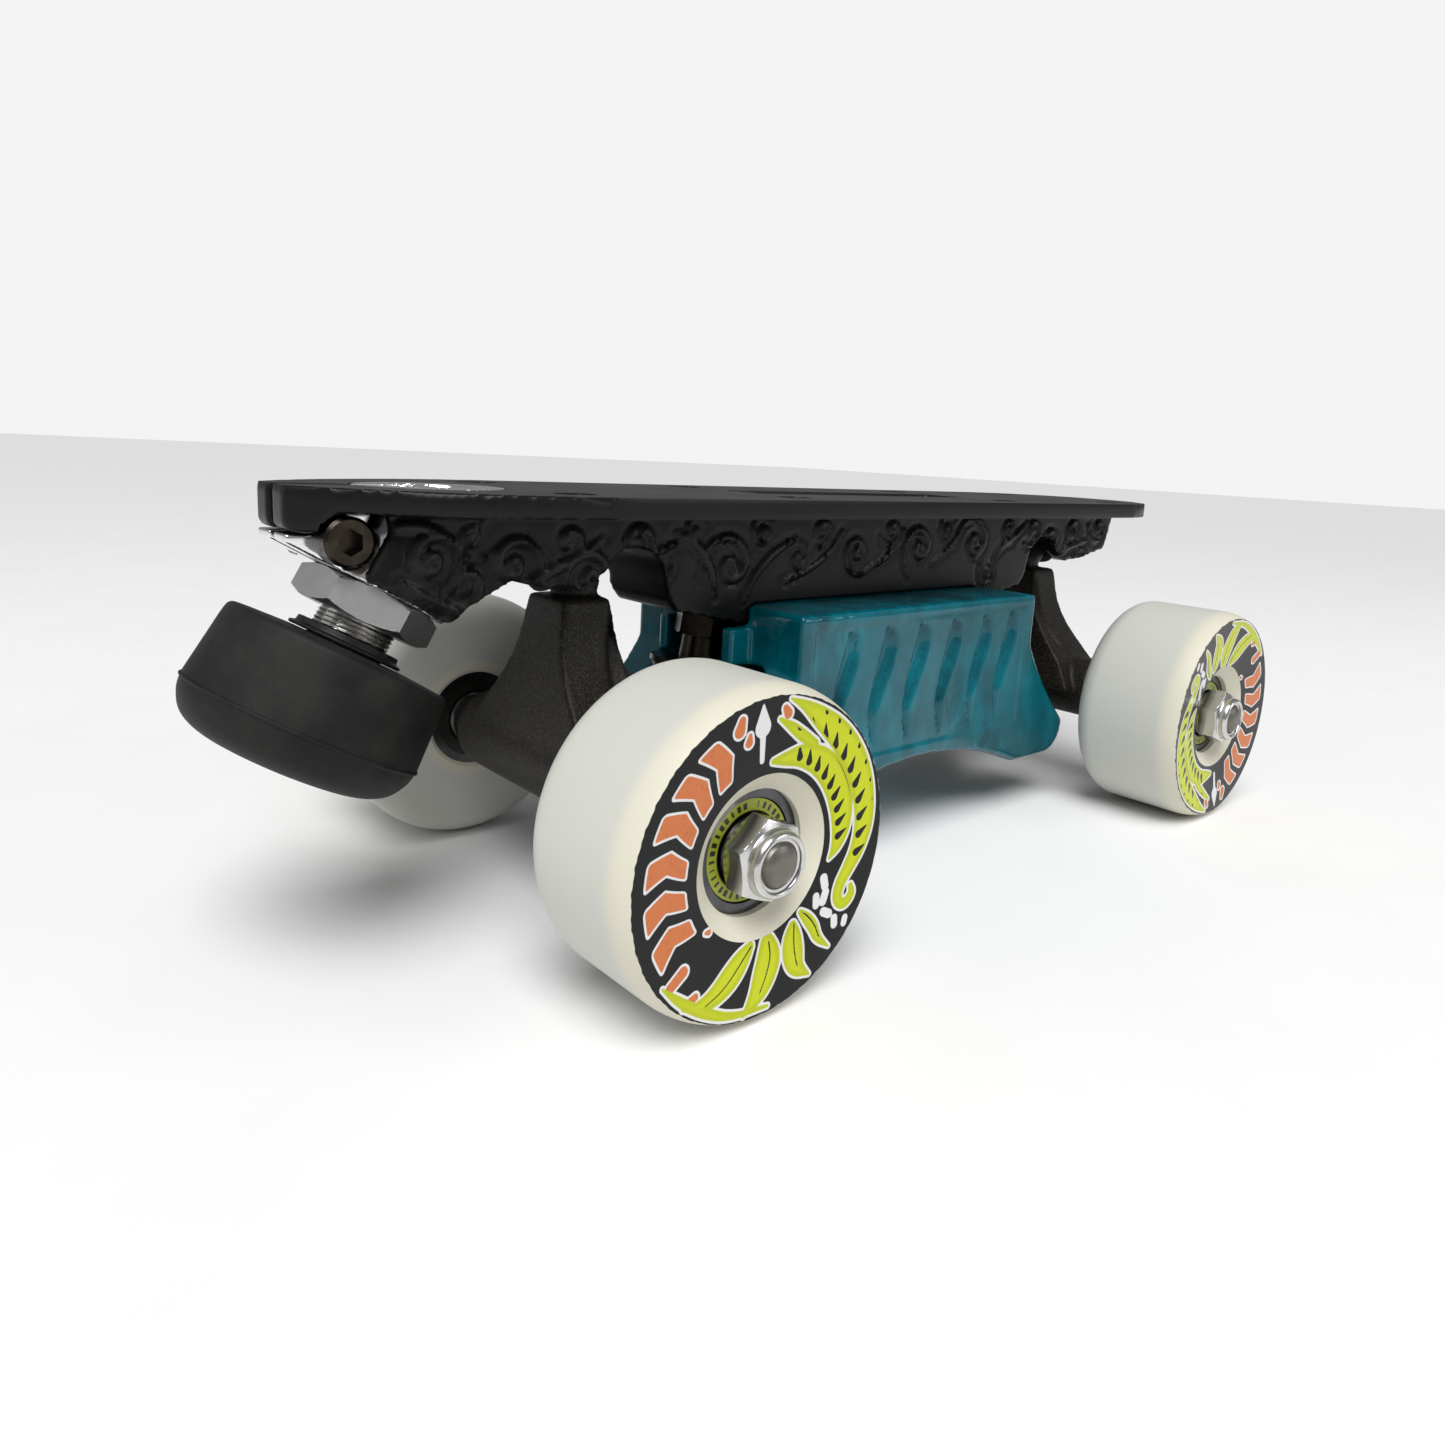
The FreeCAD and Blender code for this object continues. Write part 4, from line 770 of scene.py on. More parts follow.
@dataclass(frozen=True)
class DustyRubber:
    """Black rubber with a dry bloom, fine pits and rubbed patches."""

    name: str = "dusty_rubber"
    black: tuple = (0.005, 0.005, 0.005)
    bloom: tuple = (0.026, 0.0245, 0.022)

    def material(self) -> bpy.types.Material:
        """Builds the material."""
        shader = Shader(self.name)
        cloud = shader.noise(90.0, 5.0, 0.62)
        pits = shader.noise(2400.0, 3.0, 0.6)
        specks = shader.noise(3600.0, 2.0).ease(0.68, 0.74)
        colour = shader.mix(cloud.ease(0.35, 0.75) * 0.6 + specks * 0.5, self.black, self.bloom)
        rough = 0.5 + cloud * 0.22
        return shader.finish(Base_Color=colour, Roughness=rough, Specular_IOR_Level=0.25,
                             Normal=shader.bump(pits * 0.6 + cloud * 0.4, 0.00009, 0.7))


@dataclass(frozen=True)
class PrintedWheel:
    """Cream urethane with machining lines, and a glossy print on its face."""

    name: str = "printed_urethane"
    cream: tuple = (0.58, 0.59, 0.55)
    ivory: tuple = (0.70, 0.66, 0.52)
    black: tuple = (0.004, 0.004, 0.0045)
    lime: tuple = (0.56, 0.62, 0.008)
    olive: tuple = (0.40, 0.45, 0.008)
    orange: tuple = (0.62, 0.185, 0.06)
    rust: tuple = (0.42, 0.10, 0.035)
    white: tuple = (0.72, 0.72, 0.72)
    outline: float = 0.42

    def material(self) -> bpy.types.Material:
        """Builds the material."""
        shader = Shader(self.name)
        lime, orange, white, ink, printed, radius, height = (
            shader.attribute(word)
            for word in ("lime", "orange", "white", "ink", "printed", "radius", "height"))
        edge = 0.06
        lime_in = 1.0 - lime.ease(-edge, edge)
        orange_in = 1.0 - orange.ease(-edge, edge)
        rim = lime.at_most(orange) - self.outline
        white_in = 1.0 - rim.at_most(white).ease(-edge, edge)
        ink_in = (1.0 - ink.ease(-edge, edge)) * (1.0 - lime.ease(-0.5, -0.3))
        mottle = shader.noise(700.0, 3.0)
        fleck = shader.noise(1500.0, 2.0).ease(0.6, 0.66)
        shade = lime.ease(-1.3, -0.3) * 0.55 + mottle * 0.25
        art = shader.mix(white_in, self.black, self.white)
        art = shader.mix(orange_in, art, shader.mix(fleck * 0.35 + mottle * 0.3, self.orange, self.rust))
        art = shader.mix(lime_in, art, shader.mix(shade, self.lime, self.olive))
        art = shader.mix(ink_in, art, self.black)
        stain = shader.noise(60.0, 4.0)
        smudge = shader.noise(230.0, 5.0, 0.7).ease(0.6, 0.8)
        warm = (1.0 - radius.ease(13.4, 14.4)).at_least(height.ease(8.5, 12.0))
        cream = shader.mix(stain * 0.2 + smudge * 0.12 + warm * 0.6, self.cream, self.ivory)
        inside = printed.ease(0.4, 0.6)
        lines = (height * 15.0).sine() * 0.5 + (radius * 19.0).sine() * 0.5
        rough = inside * (0.13 + mottle * 0.06) + (1.0 - inside) * (0.42 + stain * 0.14)
        relief = lines * 0.16 + white_in.at_least(lime_in).at_least(orange_in) * inside * 0.5
        return shader.finish(Base_Color=shader.mix(inside, cream, art), Roughness=rough,
                             Specular_IOR_Level=0.24, Normal=shader.bump(relief, 0.00006, 0.6))


@dataclass(frozen=True)
class PrintedShield:
    """Lime bearing shield with a dark ring of ticks and fine border lines; the inner bearing's shields are
    painted dark as shade.
    """

    name: str = "ticked_shield"
    lime: tuple = (0.36, 0.40, 0.02)
    olive: tuple = (0.22, 0.26, 0.02)
    dark: tuple = (0.010, 0.011, 0.006)

    def material(self) -> bpy.types.Material:
        """Builds the material."""
        shader = Shader(self.name)
        radius = shader.attribute("radius")
        band = radius.ease(7.30, 7.36) * (1.0 - radius.ease(8.44, 8.50))
        ticks = shader.attribute("ticks").ease(-0.05, 0.05) * band
        border = radius.ease(8.92, 8.97) + (1.0 - radius.ease(6.84, 6.9))
        mottle = shader.noise(800.0, 3.0)
        colour = shader.mix(mottle * 0.6, self.lime, self.olive)
        # Painted shade: the inner bearing's shields are turned dark, as the shade inside the wheel.
        inner_painted_shade = shader.attribute("inner").ease(0.4, 0.6)
        colour = shader.mix(ticks.at_least(border).at_least(inner_painted_shade).at_most(1.0), colour, self.dark)
        return shader.finish(Base_Color=colour, Roughness=0.3 + mottle * 0.15,
                             Normal=shader.bump(ticks * 0.4 + mottle * 0.2, 0.00003, 0.6))


def studio_materials() -> dict:
    """Every finish, by name; the record's material slots are among them."""
    finishes = [
        MouldedPlastic("plate_nylon", (0.005, 0.005, 0.0055), (0.02, 0.02, 0.021), 0.34, specular=0.2),
        Metal("polished_aluminium", (0.84, 0.84, 0.86), (0.6, 0.6, 0.62), 0.12),
        Metal("brushed_aluminium", (0.56, 0.56, 0.56), (0.4, 0.4, 0.4), 0.36, (6.0, 60.0, 60.0)),
        Metal("black_oxide_steel", (0.035, 0.028, 0.022), (0.09, 0.075, 0.06), 0.28),
        Metal("bright_steel", (0.66, 0.65, 0.63), (0.42, 0.4, 0.38), 0.22),
        Metal("axle_steel", (0.20, 0.185, 0.165), (0.09, 0.08, 0.07), 0.4, line_height=0.00005),
        Metal("zinc_steel", (0.66, 0.66, 0.66), (0.44, 0.43, 0.38), 0.2),
        Metal("bearing_steel", (0.11, 0.11, 0.115), (0.06, 0.06, 0.06), 0.3),
        MouldedPlastic("powder_coat", (0.02, 0.019, 0.018), (0.05, 0.048, 0.045), 0.45, 5200.0, 0.0001),
        MouldedPlastic("stop_rubber", (0.005, 0.005, 0.005), (0.03, 0.028, 0.026), 0.4, 2500.0,
                       0.00003, 0.25),
        MouldedPlastic("slide_urethane", (0.0, 0.18, 0.22), (0.0, 0.3, 0.33), 0.18, 600.0),
        Metal("insert_brass", (0.7, 0.5, 0.2), (0.5, 0.35, 0.15), 0.3),
        MouldedPlastic("cushion_urethane", (0.006, 0.006, 0.006), (0.03, 0.03, 0.03), 0.35, specular=0.25),
        MouldedPlastic("cup_urethane", (0.008, 0.008, 0.008), (0.03, 0.03, 0.03), 0.45, specular=0.25),
        MouldedPlastic("wheel_urethane", (0.79, 0.77, 0.68), (0.72, 0.68, 0.55), 0.42, 1600.0, 0.00001),
        MouldedPlastic("shield_nylon", (0.36, 0.40, 0.02), (0.22, 0.26, 0.02), 0.35),
        ReliefNylon(), GrittyPowder(), JellyUrethane(), DustyRubber(), PrintedWheel(), PrintedShield(),
    ]
    return {finish.name: finish.material() for finish in finishes}


# --- wheels ---------------------------------------------------------------------------------------

@dataclass
class WheelSet:
    """One wheel with its printed face and bearing shields; lengths in millimetres, heights outwards."""

    end: End
    side: Side
    turn: float
    half_base: float = 87.0
    half_track: float = 50.3
    axle_up: float = -56.0
    radius: float = 29.0
    half_width: float = 14.7
    lip: float = 27.6
    print_from: float = 14.3
    segments: int = 480

    @property
    def name(self) -> str:
        """Wheel's name in the CAD nodes."""
        return f"{self.end.word}_{self.side.word}"

    @property
    def axis(self) -> Axis:
        """Wheel's axis, pointing outwards from its middle, with angle 0 to the right seen from outside."""
        middle = (self.end.value * self.half_base, self.side.value * self.half_track, self.axle_up)
        return Axis(middle, (0, self.side.value, 0), (-self.side.value, 0, 0))

    def _face(self) -> np.ndarray:
        """Printed face: with s the share of the way out, it lies 1.2*(1-s)*(1-0.2*s) below the edge."""
        radius = np.linspace(self.print_from, self.lip, 58)
        share = (radius - self.print_from) / (self.lip - self.print_from)
        return np.stack([radius, self.half_width - 1.2 * (1 - share) * (1 - 0.2 * share)], axis=1)

    def _tread(self) -> np.ndarray:
        """Outer shoulder r = R - 1.4*t^2.4, flat tread, and inner shoulder as a quarter circle of 6."""
        t = np.linspace(1.0, 0.0, 15)[1:]
        outer = np.stack([self.radius - 1.4 * t ** 2.4, self.half_width - 5.9 * (1 - t)], axis=1)
        across = np.linspace(8.8, -8.7, 9)[1:]
        tread = np.stack([np.full(across.shape, self.radius), across], axis=1)
        s = np.linspace(0.0, np.pi / 2, 15)[1:]
        inner = np.stack([23.0 + 6.0 * np.cos(s), -8.7 - 6.0 * np.sin(s)], axis=1)
        return np.concatenate([outer, tread, inner])

    def build(self, materials: dict) -> None:
        """Builds the wheel and its shields and rides them on the wheel's body."""
        self._wheel(materials)
        self._shields(materials)

    def _wheel(self, materials: dict) -> None:
        """Tyre: closed profile turned about the axis, with the print's distances on its face."""
        cone = rounded([(11.0, 11.0, 0), (13.6, 12.9, 0.8), (14.28, 13.47, 0)], 5)
        back = np.array([(19.0, -14.7), (16.0, -14.7), (11.8, -14.7), (11.0, -14.2), (11.0, -7.2),
                         (9.2, -7.2), (9.2, 2.8), (11.0, 2.8), (11.0, 9.8), (11.0, 11.0)])
        face = self._face()
        profile = np.concatenate([cone, face, self._tread(), back])
        angle = full_turn(self.segments)
        grid = self.axis.points(profile[:, :1], profile[:, 1:2], angle)
        rows = slice(len(cone), len(cone) + len(face))
        u = profile[rows, :1] * np.cos(angle)
        v = profile[rows, :1] * np.sin(angle)
        values = {}
        for key, distance in WheelPrint(self.turn).values(u, v).items():
            values[key] = np.full(grid.shape[:2], 50.0)
            values[key][rows] = distance
        printed = np.zeros(grid.shape[:2])
        printed[rows] = 1.0
        printed[rows.stop - 1] = 0.5 + 0.12 * np.sin(angle * 37) + 0.1 * np.sin(angle * 90)
        piece = Surface(f"{self.name}_tyre").add(grid, radius=profile[:, :1], height=profile[:, 1:2],
                                                 printed=printed, **values)
        piece = piece.build(materials["printed_urethane"])
        settle(piece, f"{self.name}_wheel_set", "wheel_urethane", f"{self.name}_wheel")

    def _shields(self, materials: dict) -> None:
        """Four thin rings, one on each face of both bearings, with a ring of ticks of uneven width."""
        surface = Surface(f"{self.name}_shields")
        angle = full_turn(288)
        ticks = np.sin(angle * 34) + 0.45 * np.sin(angle * 11 + 0.8) - 0.9 * (np.sin(angle * 3 + 0.6) < -0.8)
        for middle in (6.3, -10.7):
            for plane in (middle - 3.0, middle + 3.0):
                outline = [(6.52, -0.25, 0), (6.52, 0.12, 0), (6.75, 0.25, 0), (8.9, 0.25, 0),
                           (9.18, 0.1, 0), (9.18, -0.25, 0), (6.52, -0.25, 0)]
                profile = subdivide(rounded(outline), 0.24)
                grid = self.axis.points(profile[:, :1], profile[:, 1:2] + plane, angle)
                # The inner flag marks the inner bearing, whose shields the finish paints dark as shade.
                surface.add(grid, radius=profile[:, :1], ticks=ticks, inner=np.array([[float(middle < 0)]]))
        piece = surface.build(materials["ticked_shield"])
        settle(piece, f"{self.name}_wheel_set", "shield_nylon", f"{self.name}_bearing_shields")


# --- trucks ---------------------------------------------------------------------------------------

@dataclass
class Truck:
    """One steering truck: cast hanger, cushions, pivot cup and the two axle nuts."""

    end: End
    half_base: float = 87.0
    axle_up: float = -56.0
    nut_seat: float = 61.0
    lean: float = 10.0
    web_foot: float = 7.5
    web_height: float = 26.0
    hollow: float = 3.4
    valley: float = 1.9
    valley_width: float = 1.5

    def build(self, materials: dict) -> None:
        """Builds the truck's pieces and rides them on their bodies."""
        self._hanger(materials)
        self._nuts(materials)
        self._soft_parts(materials)

    def _hanger(self, materials: dict) -> None:
        """Cast hanger with eased edges."""
        name = f"{self.end.word}_hanger"
        casting = MouldedCopy(name, f"{name}_casting", 0.55, 12)
        piece = casting.build(materials["gritty_powder"], self._sculpt)
        settle(piece, f"{self.end.word}_truck", "powder_coat", name)

    def _sculpt(self, places: np.ndarray, normals: np.ndarray) -> np.ndarray:
        """Hollows the web's flanks and sinks a valley between web and arm.

        With t the share of the way up the web, a flank moves in by hollow*sin(pi*t)^1.2. The valley
        follows a line that leans inboard; its depth is valley*exp(-(distance/valley_width)^2).
        """
        inboard = self.half_base - self.end.value * places[:, 0]
        up = places[:, 2] - self.axle_up
        t = np.clip((up - self.web_foot) / self.web_height, 0.0, 1.0)
        flank = step(np.abs(places[:, 1]), 5.0, 9.0) * (1 - step(inboard, 12.0, 20.0))
        hollow = self.hollow * np.sin(np.pi * t) ** 1.2 * flank
        valley = self.valley * np.exp(-((inboard - 3.0 - 0.2 * up) / self.valley_width) ** 2)
        valley = valley * step(up, 9.0, 13.0) * (1 - step(up, 28.0, 36.0))
        moved = places.copy()
        moved[:, 1] -= np.sign(places[:, 1]) * (hollow + valley * step(np.abs(normals[:, 1]), 0.3, 0.7))
        return moved

    def _nuts(self, materials: dict) -> None:
        """Two locking nuts: hexagon with turned chamfers, then a collar with a bevelled lip."""
        corners = [(4.03, 0.05, 0), (6.3, 0.0, 0), (7.52, 0.6, 0), (7.52, 4.3, 0), (5.9, 4.95, 0),
                   (5.75, 5.2, 0.2), (5.8, 6.5, 0.5), (5.35, 7.1, 0.4), (4.9, 7.2, 0.2),
                   (4.55, 7.0, 0.2), (4.5, 6.6, 0), (4.03, 6.5, 0), (4.03, 0.05, 0)]
        profile = subdivide(rounded(corners, 5), 0.12)
        surface = Surface(f"{self.end.word}_locking_nuts")
        for side in Side:
            seat = (self.end.value * self.half_base, side.value * self.nut_seat, self.axle_up)
            tilt = math.radians(12.0 * side.value + 20.0)
            axis = Axis(seat, (0, side.value, 0), (math.cos(tilt), 0, math.sin(tilt)))
            surface.add(hexagonal(axis, 13.0, profile))
        piece = surface.build(materials["zinc_steel"])
        settle(piece, f"{self.end.word}_truck", "zinc_steel", f"{self.end.word}_axle_nuts")

    def _soft_parts(self, materials: dict) -> None:
        """Pivot cup and the two cushions, each cushion with a mesh of its own."""
        word = self.end.word
        mould = MouldedCopy(f"{word}_pivot_cup", f"{word}_cup_moulding", 0.4, 3)
        settle(mould.build(materials["cup_urethane"]), "chassis", "cup_urethane", f"{word}_pivot_cup")
        for level, sign in (("upper", 1.0), ("lower", -1.0)):
            node = f"{word}_{level}_cushion"
            mould = MouldedCopy(node, f"{word}_{level}_barrel", 0.5, 3)
            cushion = mould.build(materials["cushion_urethane"])
            settle(cushion, "chassis", "cushion_urethane", node)
            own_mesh(cushion)


# --- toe stop -------------------------------------------------------------------------------------

@dataclass
class ToeStop:
    """Rubber stopper on a threaded stem, held by a lock nut and a split clamp.

    Drops are measured down the leaning axis.
    """

    seat: float = 21.6
    nut_height: float = 6.0
    gap: float = 3.1
    washer: float = 2.0
    lean: float = 29.5
    ahead: float = 115.0

    def _axis(self, drop: float) -> Axis:
        """Stop's axis with its origin some way down from the plate's top."""
        lean = math.radians(self.lean)
        along = np.array([math.sin(lean), 0.0, math.cos(lean)])
        origin = np.array([-self.ahead, 0.0, 0.0]) - along * drop
        return Axis(tuple(origin), tuple(along), (math.cos(lean), 0.0, -math.sin(lean)))

    def build(self, materials: dict) -> None:
        """Builds the stop's pieces and rides them on their bodies."""
        self._rubber(materials)
        self._stem(materials)
        self._nut_and_washer(materials)
        clamp = MouldedCopy("toe_stop_clamp", "split_clamp", 0.32, 2).build(materials["polished_aluminium"])
        settle(clamp, "chassis", "polished_aluminium", "toe_stop_clamp")

    def _rubber(self, materials: dict) -> None:
        """Stopper: tapering drum with a moulded parting line and a rounded foot."""
        corners = [(7.05, -6.0, 0), (7.05, -0.1, 0), (10.4, -0.15, 0.3), (18.0, -0.6, 2.0),
                   (19.9, -0.9, 1.4), (20.2, -3.0, 1.0), (20.98, -14.3, 0.2), (21.0, -14.6, 0),
                   (21.28, -14.75, 0.1), (21.28, -15.1, 0.1), (20.95, -15.3, 0), (20.6, -17.2, 1.2),
                   (18.9, -20.4, 2.2), (15.6, -22.2, 2.0), (9.0, -23.1, 2.0), (4.0, -23.55, 0),
                   (0.0, -23.55, 0)]
        outline = subdivide(rounded(corners, 7), 0.8)
        profile = np.concatenate([[(0.0, -6.0)], outline])
        drop = self.seat + self.nut_height + self.gap + self.washer
        piece = turned("stopper_rubber", self._axis(drop), profile, materials["dusty_rubber"], 192)
        settle(piece, "toe_stop", "stop_rubber", "toe_stop_rubber")

    def _stem(self, materials: dict) -> None:
        """Threaded stem: r = 7 - 0.34*|2*frac(h/pitch - angle/turn) - 1|, eased to a bevel at both ends."""
        pitch = 0.75
        low, high = -17.0, 13.95
        height = np.linspace(low, high, 496)[:, None]
        angle = full_turn(72)
        wave = np.abs(2 * np.mod(height / pitch - angle / (2 * np.pi), 1.0) - 1)
        ends = np.minimum(height - low, high - height)
        radius = np.minimum(7.0 - 0.34 * wave, 5.9 + ends)
        axis = self._axis(self.seat)
        body = axis.points(radius, height, angle)
        foot = axis.points(np.array([[0.0], [2.0], [4.0]]), low, angle)
        crown = axis.points(np.array([[4.0], [2.0], [0.0]]), high, angle)
        surface = Surface("threaded_stem").add(np.concatenate([foot, body, crown]))
        piece = surface.build(materials["bright_steel"])
        settle(piece, "toe_stop", "bright_steel", "toe_stop_stem")

    def _nut_and_washer(self, materials: dict) -> None:
        """Thin hexagonal lock nut with chamfered corners, and the rounded washer above the rubber."""
        top = self.nut_height - 0.02
        corners = [(7.06, 0.0, 0), (10.5, 0.0, 0), (11.0, 0.08, 0), (12.75, 1.0, 0),
                   (12.75, top - 1.0, 0), (11.0, top - 0.08, 0), (10.5, top, 0), (7.6, top, 0),
                   (7.06, top - 0.5, 0), (7.06, 0.0, 0)]
        axis = self._axis(self.seat + self.nut_height)
        spin = math.radians(9.0)
        third = np.cross(axis.along, axis.across)
        across = np.array(axis.across) * math.cos(spin) + third * math.sin(spin)
        grid = hexagonal(Axis(axis.origin, axis.along, tuple(across)), 22.0,
                         subdivide(rounded(corners), 0.25))
        nut = Surface("stop_nut").add(grid).build(materials["brushed_aluminium"])
        settle(nut, "chassis", "brushed_aluminium", "toe_stop_lock_nut")
        ring = rounded([(7.03, 0.02, 0), (10.2, 0.02, 0.3), (10.28, 0.6, 0.2), (9.3, 0.9, 0.3),
                        (9.2, 1.9, 0.2), (8.6, 1.98, 0.2), (7.03, 1.98, 0), (7.03, 0.02, 0)], 6)
        drop = self.seat + self.nut_height + self.gap + self.washer
        washer = turned("stop_washer_ring", self._axis(drop), subdivide(ring, 0.4),
                        materials["stop_rubber"], 144)
        settle(washer, "toe_stop", "black_oxide_steel", "toe_stop_washer")


# --- plate and slide block ------------------------------------------------------------------------

@dataclass
class Plate:
    """Moulded plate with scrolls sculpted in relief on both sides of its keel."""

    half_keel: float = 11.0
    rib: float = 0.7
    groove: float = 0.45

    SCROLLS = (
        (-121.0, -12.0, 4.6, 60, 1.0), (-112.5, -8.6, 3.0, 200, -1.0), (-113.5, -17.0, 3.6, 320, 1.0),
        (-104.0, -13.5, 4.8, 60, 1.0), (-97.0, -20.5, 3.8, 210, -1.0), (-92.0, -9.5, 3.2, 330, 1.0),
        (-86.5, -16.5, 5.2, 130, -1.0), (-76.0, -10.0, 3.8, 20, 1.0), (-70.5, -15.0, 2.6, 250, -1.0),
        (-61.0, -7.6, 2.2, 120, 1.0), (-50.5, -15.5, 5.4, 60, -1.0), (-41.0, -8.6, 2.8, 200, 1.0),
        (-29.5, -14.5, 2.4, 300, -1.0), (-22.0, -8.2, 2.6, 20, 1.0), (-9.0, -13.5, 4.2, 200, -1.0),
        (4.0, -8.4, 2.8, 330, 1.0), (15.5, -13.0, 5.0, 110, -1.0), (27.0, -8.4, 2.6, 190, 1.0),
        (40.0, -12.0, 5.4, 50, -1.0), (47.5, -21.0, 3.0, 280, 1.0), (57.0, -8.4, 2.6, 160, -1.0),
        (69.0, -9.0, 3.2, 0, 1.0), (80.0, -12.5, 5.0, 230, -1.0), (91.5, -10.0, 3.4, 70, 1.0),
        (98.0, -18.0, 3.8, 180, -1.0), (107.0, -9.0, 3.6, 300, 1.0),
    )
    FLAMES = (
        ((-126.5, -15.5, 0.2), (-122.0, -18.5, 0.7), (-117.0, -20.8, 0.7), (-112.0, -22.5, 0.2)),
        ((-128.0, -7.0, 0.2), (-125.5, -6.2, 0.7), (-121.5, -6.4, 0.7), (-117.0, -8.6, 0.2)),
        ((-107.0, -22.0, 0.2), (-101.0, -17.5, 0.8), (-95.0, -14.5, 0.9), (-90.0, -12.8, 0.5),
         (-84.0, -8.8, 0.1)),
        ((-90.0, -22.5, 0.2), (-84.0, -20.5, 0.7), (-78.5, -16.5, 0.8), (-72.5, -12.5, 0.6),
         (-64.0, -9.8, 0.1)),
        ((-66.0, -8.0, 0.1), (-60.0, -10.6, 0.7), (-56.0, -16.0, 0.9), (-54.5, -22.0, 0.2)),
        ((-46.0, -24.0, 0.1), (-43.5, -18.0, 0.8), (-37.0, -12.5, 0.8), (-30.0, -9.8, 0.1)),
        ((-34.0, -20.0, 0.1), (-26.0, -17.5, 0.45), (-18.0, -13.0, 0.5), (-14.5, -8.0, 0.1)),
        ((-3.0, -17.5, 0.1), (2.0, -15.5, 0.5), (6.5, -12.0, 0.55), (9.0, -8.0, 0.1)),
        ((21.0, -18.0, 0.1), (25.0, -15.0, 0.5), (30.0, -12.5, 0.55), (34.0, -7.5, 0.1)),
        ((50.0, -17.0, 0.2), (54.0, -13.0, 0.8), (61.0, -10.0, 0.6), (66.0, -6.6, 0.1)),
        ((84.0, -18.5, 0.2), (87.5, -15.0, 0.9), (94.0, -13.8, 0.8), (101.0, -12.5, 0.2)),
    )

    def build(self, materials: dict) -> None:
        """Builds the plate and rides it on the chassis."""
        mould = MouldedCopy("plate", "moulded_plate", 0.78, 1)
        piece = mould.build(materials["sculpted_nylon"], self._sculpt)
        give_values(piece.data, "relief", self._distance(read_vectors(piece.data, "co") / MM))
        settle(piece, "chassis", "plate_nylon", "plate")

    def _distance(self, places: np.ndarray) -> np.ndarray:
        """Signed distance to the scrolls, far away off the keel's sides."""
        paths = [curl(x, z, radius, start, hand) for x, z, radius, start, hand in self.SCROLLS]
        paths += [corner_cut(np.array(flame)) for flame in self.FLAMES]
        distance = np.full(len(places), 9.0)
        on_side = (np.abs(places[:, 1]) > self.half_keel - 1.3) & (places[:, 2] < -4.6)
        distance[on_side] = stroke_distance(places[on_side, 0], places[on_side, 2], paths)
        return distance

    def _sculpt(self, places: np.ndarray, normals: np.ndarray) -> np.ndarray:
        """Raises ribs along the scrolls and sinks a groove beside them.

        At distance d from a scroll the rise is rib*(1-step(d)) - groove*exp(-((d-0.85)/0.4)^2).
        """
        distance = self._distance(places)
        facing = step(np.abs(normals[:, 1]), 0.75, 0.95)
        rib = self.rib * (1 - step(distance, -0.3, 0.35))
        groove = self.groove * np.exp(-((distance - 0.85) / 0.4) ** 2)
        return places + normals * ((rib - groove) * facing)[:, None]


@dataclass
class SlideBlock:
    """Tinted block between the trucks with slanted flutes moulded into its sides."""

    half_width: float = 29.0
    depth: float = 2.1
    flutes: tuple = (-32.0, -19.0, -6.5, 6.5, 19.5, 31.5)

    def _paths(self) -> list:
        """Slanting, bowed strokes, wide at the top and pointed at the foot."""
        paths = []
        for x in self.flutes:
            rows = [(x + 3.0, -29.5, 0.5), (x + 4.6, -31.5, 2.2), (x + 3.4, -36.5, 2.5),
                    (x + 1.0, -43.0, 2.0), (x - 0.8, -50.0, 1.2), (x + 0.6, -57.0, 0.3)]
            paths.append(corner_cut(np.array(rows, float)))
        return paths

    def _distance(self, places: np.ndarray) -> np.ndarray:
        """Signed distance to the flutes, far away off the block's sides."""
        distance = np.full(len(places), 9.0)
        on_side = np.abs(np.abs(places[:, 1]) - self.half_width) < 2.0
        distance[on_side] = stroke_distance(places[on_side, 0], places[on_side, 2], self._paths())
        return distance

    def _sculpt(self, places: np.ndarray, normals: np.ndarray) -> np.ndarray:
        """Sinks the flutes, and a shallow panel round them whose edge stands 0.5 lower than the border."""
        distance = self._distance(places)
        facing = step(np.abs(normals[:, 1]), 0.7, 0.95)
        panel = step(places[:, 2], -60.0, -58.5) * (1 - step(places[:, 2], -28.5, -27.0))
        panel = panel * (1 - step(np.abs(places[:, 0]), 40.0, 41.5))
        flute = self.depth * (1 - step(distance, -0.7, 0.3)) * (0.6 + 0.4 * step(-distance, 0.0, 2.0))
        return places - normals * ((flute + 0.5 * panel) * facing)[:, None]

    def build(self, materials: dict) -> None:
        """Builds the block and rides it on the chassis."""
        mould = MouldedCopy("slide_block", "slide_block_moulding", 0.66, 5)
        piece = mould.build(materials["tinted_urethane"], self._sculpt)
        # These flute distances also tell the finish where to paint shade in the flutes.
        give_values(piece.data, "flute", self._distance(read_vectors(piece.data, "co") / MM))
        settle(piece, "chassis", "slide_urethane", "slide_block")


# --- studio ---------------------------------------------------------------------------------------

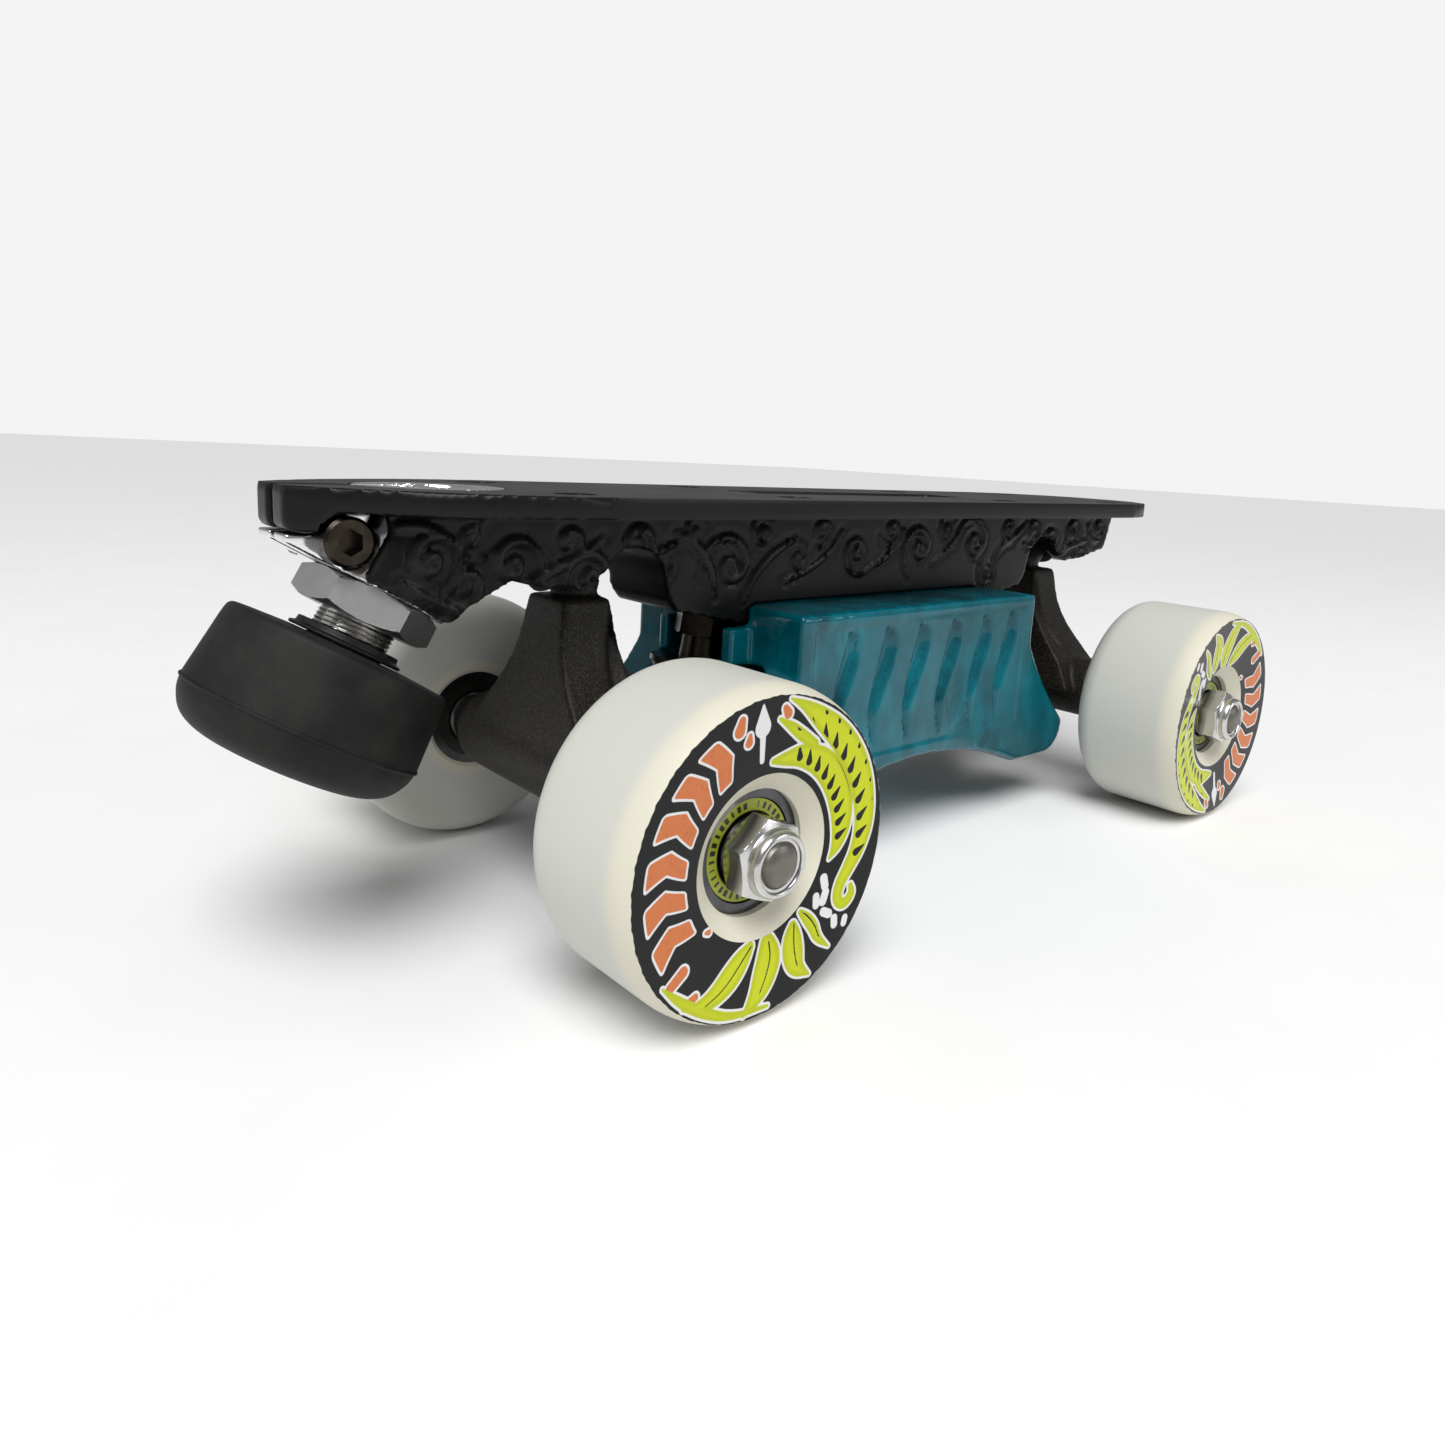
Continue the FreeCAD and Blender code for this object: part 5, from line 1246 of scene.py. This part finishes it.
@dataclass
class Studio:
    """Camera, pale floor and soft lights."""

    eye: tuple = (-0.19557, -0.17291, 0.00875)
    heading: float = 41.707
    pitch: float = -10.433
    roll: float = 3.063
    lens: float = 24.812
    shift: tuple = (-0.00108, -0.05971)
    floor_drop: float = 0.0853
    surroundings: float = 0.26
    backdrop: float = 0.9
    sun: float = 2.2

    def build(self) -> None:
        """Makes the camera, the floor, the world and the lights."""
        self._camera()
        self._floor()
        self._world()
        self._sun()
        self._light("key", (-0.35, -0.45, 0.6), 0.35, 1.6)
        self._light("fill", (-0.8, 0.3, 0.3), 0.5, 0.8)
        self._light("side", (0.5, -0.75, 0.35), 0.4, 1.4)

    def _camera(self) -> None:
        """Camera at the eye, turned from +Y by the heading towards +X, with its pitch and roll."""
        data = bpy.data.cameras.new("camera")
        data.lens = self.lens
        data.sensor_width = 36.0
        data.shift_x, data.shift_y = self.shift
        data.clip_start = 0.005
        camera = add_object("camera", data)
        camera.location = self.eye
        turn = Matrix.Rotation(-math.radians(self.heading), 4, "Z")
        tilt = Matrix.Rotation(math.radians(90.0 + self.pitch), 4, "X")
        roll = Matrix.Rotation(math.radians(self.roll), 4, "Z")
        camera.rotation_euler = (turn @ tilt @ roll).to_euler()
        bpy.context.scene.camera = camera

    def _floor(self) -> None:
        """Pale sweep under the wheels."""
        reach = 6.0
        corners = [(-reach, -reach), (reach, -reach), (reach, reach), (-reach, reach)]
        mesh = bpy.data.meshes.new("floor")
        mesh.from_pydata([(x, y, -self.floor_drop) for x, y in corners], [], [(0, 1, 2, 3)])
        floor = add_object("floor", mesh)
        shader = Shader("pale_floor")
        grain = shader.noise(40.0, 2.0)
        mesh.materials.append(shader.finish(Base_Color=shader.mix(grain, (0.86, 0.86, 0.86),
                                                                  (0.9, 0.9, 0.9)),
                                            Roughness=0.9))

    def _world(self) -> None:
        """Even white surroundings."""
        world = bpy.data.worlds.new("studio")
        world.use_nodes = True
        tree = world.node_tree
        background = tree.nodes["Background"]
        background.inputs["Color"].default_value = (1.0, 1.0, 1.0, 1.0)
        seen = tree.nodes.new("ShaderNodeLightPath").outputs["Is Camera Ray"]
        strength = tree.nodes.new("ShaderNodeMapRange")
        strength.inputs["To Min"].default_value = self.surroundings
        strength.inputs["To Max"].default_value = self.backdrop
        tree.links.new(seen, strength.inputs["Value"])
        tree.links.new(strength.outputs["Result"], background.inputs["Strength"])
        bpy.context.scene.world = world
        bpy.context.scene.view_settings.view_transform = "Standard"

    def _sun(self) -> None:
        """Soft even light from above and in front on the left."""
        data = bpy.data.lights.new("sky_panel", "SUN")
        data.energy = self.sun
        data.angle = math.radians(40.0)
        light = add_object("sky_panel", data)
        light.rotation_euler = Vector((0.42, 0.4, -1.0)).to_track_quat("-Z", "Y").to_euler()

    def _light(self, name: str, where: tuple, size: float, power: float) -> None:
        """Square soft light aimed at the chassis.

        Args:
            name: Name of the light.
            where: Its place in metres.
            size: Length of its side in metres.
            power: Power in watts.
        """
        data = bpy.data.lights.new(name, "AREA")
        data.size = size
        data.energy = power
        light = add_object(name, data)
        light.location = where
        aim = Vector((0.0, 0.0, -0.04)) - Vector(where)
        light.rotation_euler = aim.to_track_quat("-Z", "Y").to_euler()


def dress_nodes(materials: dict) -> None:
    """Gives every CAD node the procedural finish of its material slot, and the axles their browned one."""
    slots = {part["node"]: part["material_slot"] for part in frame["record"]["subparts"]}
    slots.update({f"{end.word}_axle": "axle_steel" for end in End})
    for name, node in frame["nodes"].items():
        for slot in node.material_slots:
            slot.material = materials[slots[name]]


def main() -> None:
    """Builds the studio and every sub-assembly in order."""
    logging.basicConfig(level=logging.INFO, format="%(name)s: %(message)s")
    Studio().build()
    materials = studio_materials()
    dress_nodes(materials)
    Plate().build(materials)
    SlideBlock().build(materials)
    ToeStop().build(materials)
    for end in End:
        Truck(end).build(materials)
        for side, turn in ((Side.LEFT, 0.0), (Side.RIGHT, 60.0)):
            WheelSet(end, side, turn + (180.0 if end is End.REAR else 0.0)).build(materials)


if __name__ == "__main__":
    main()
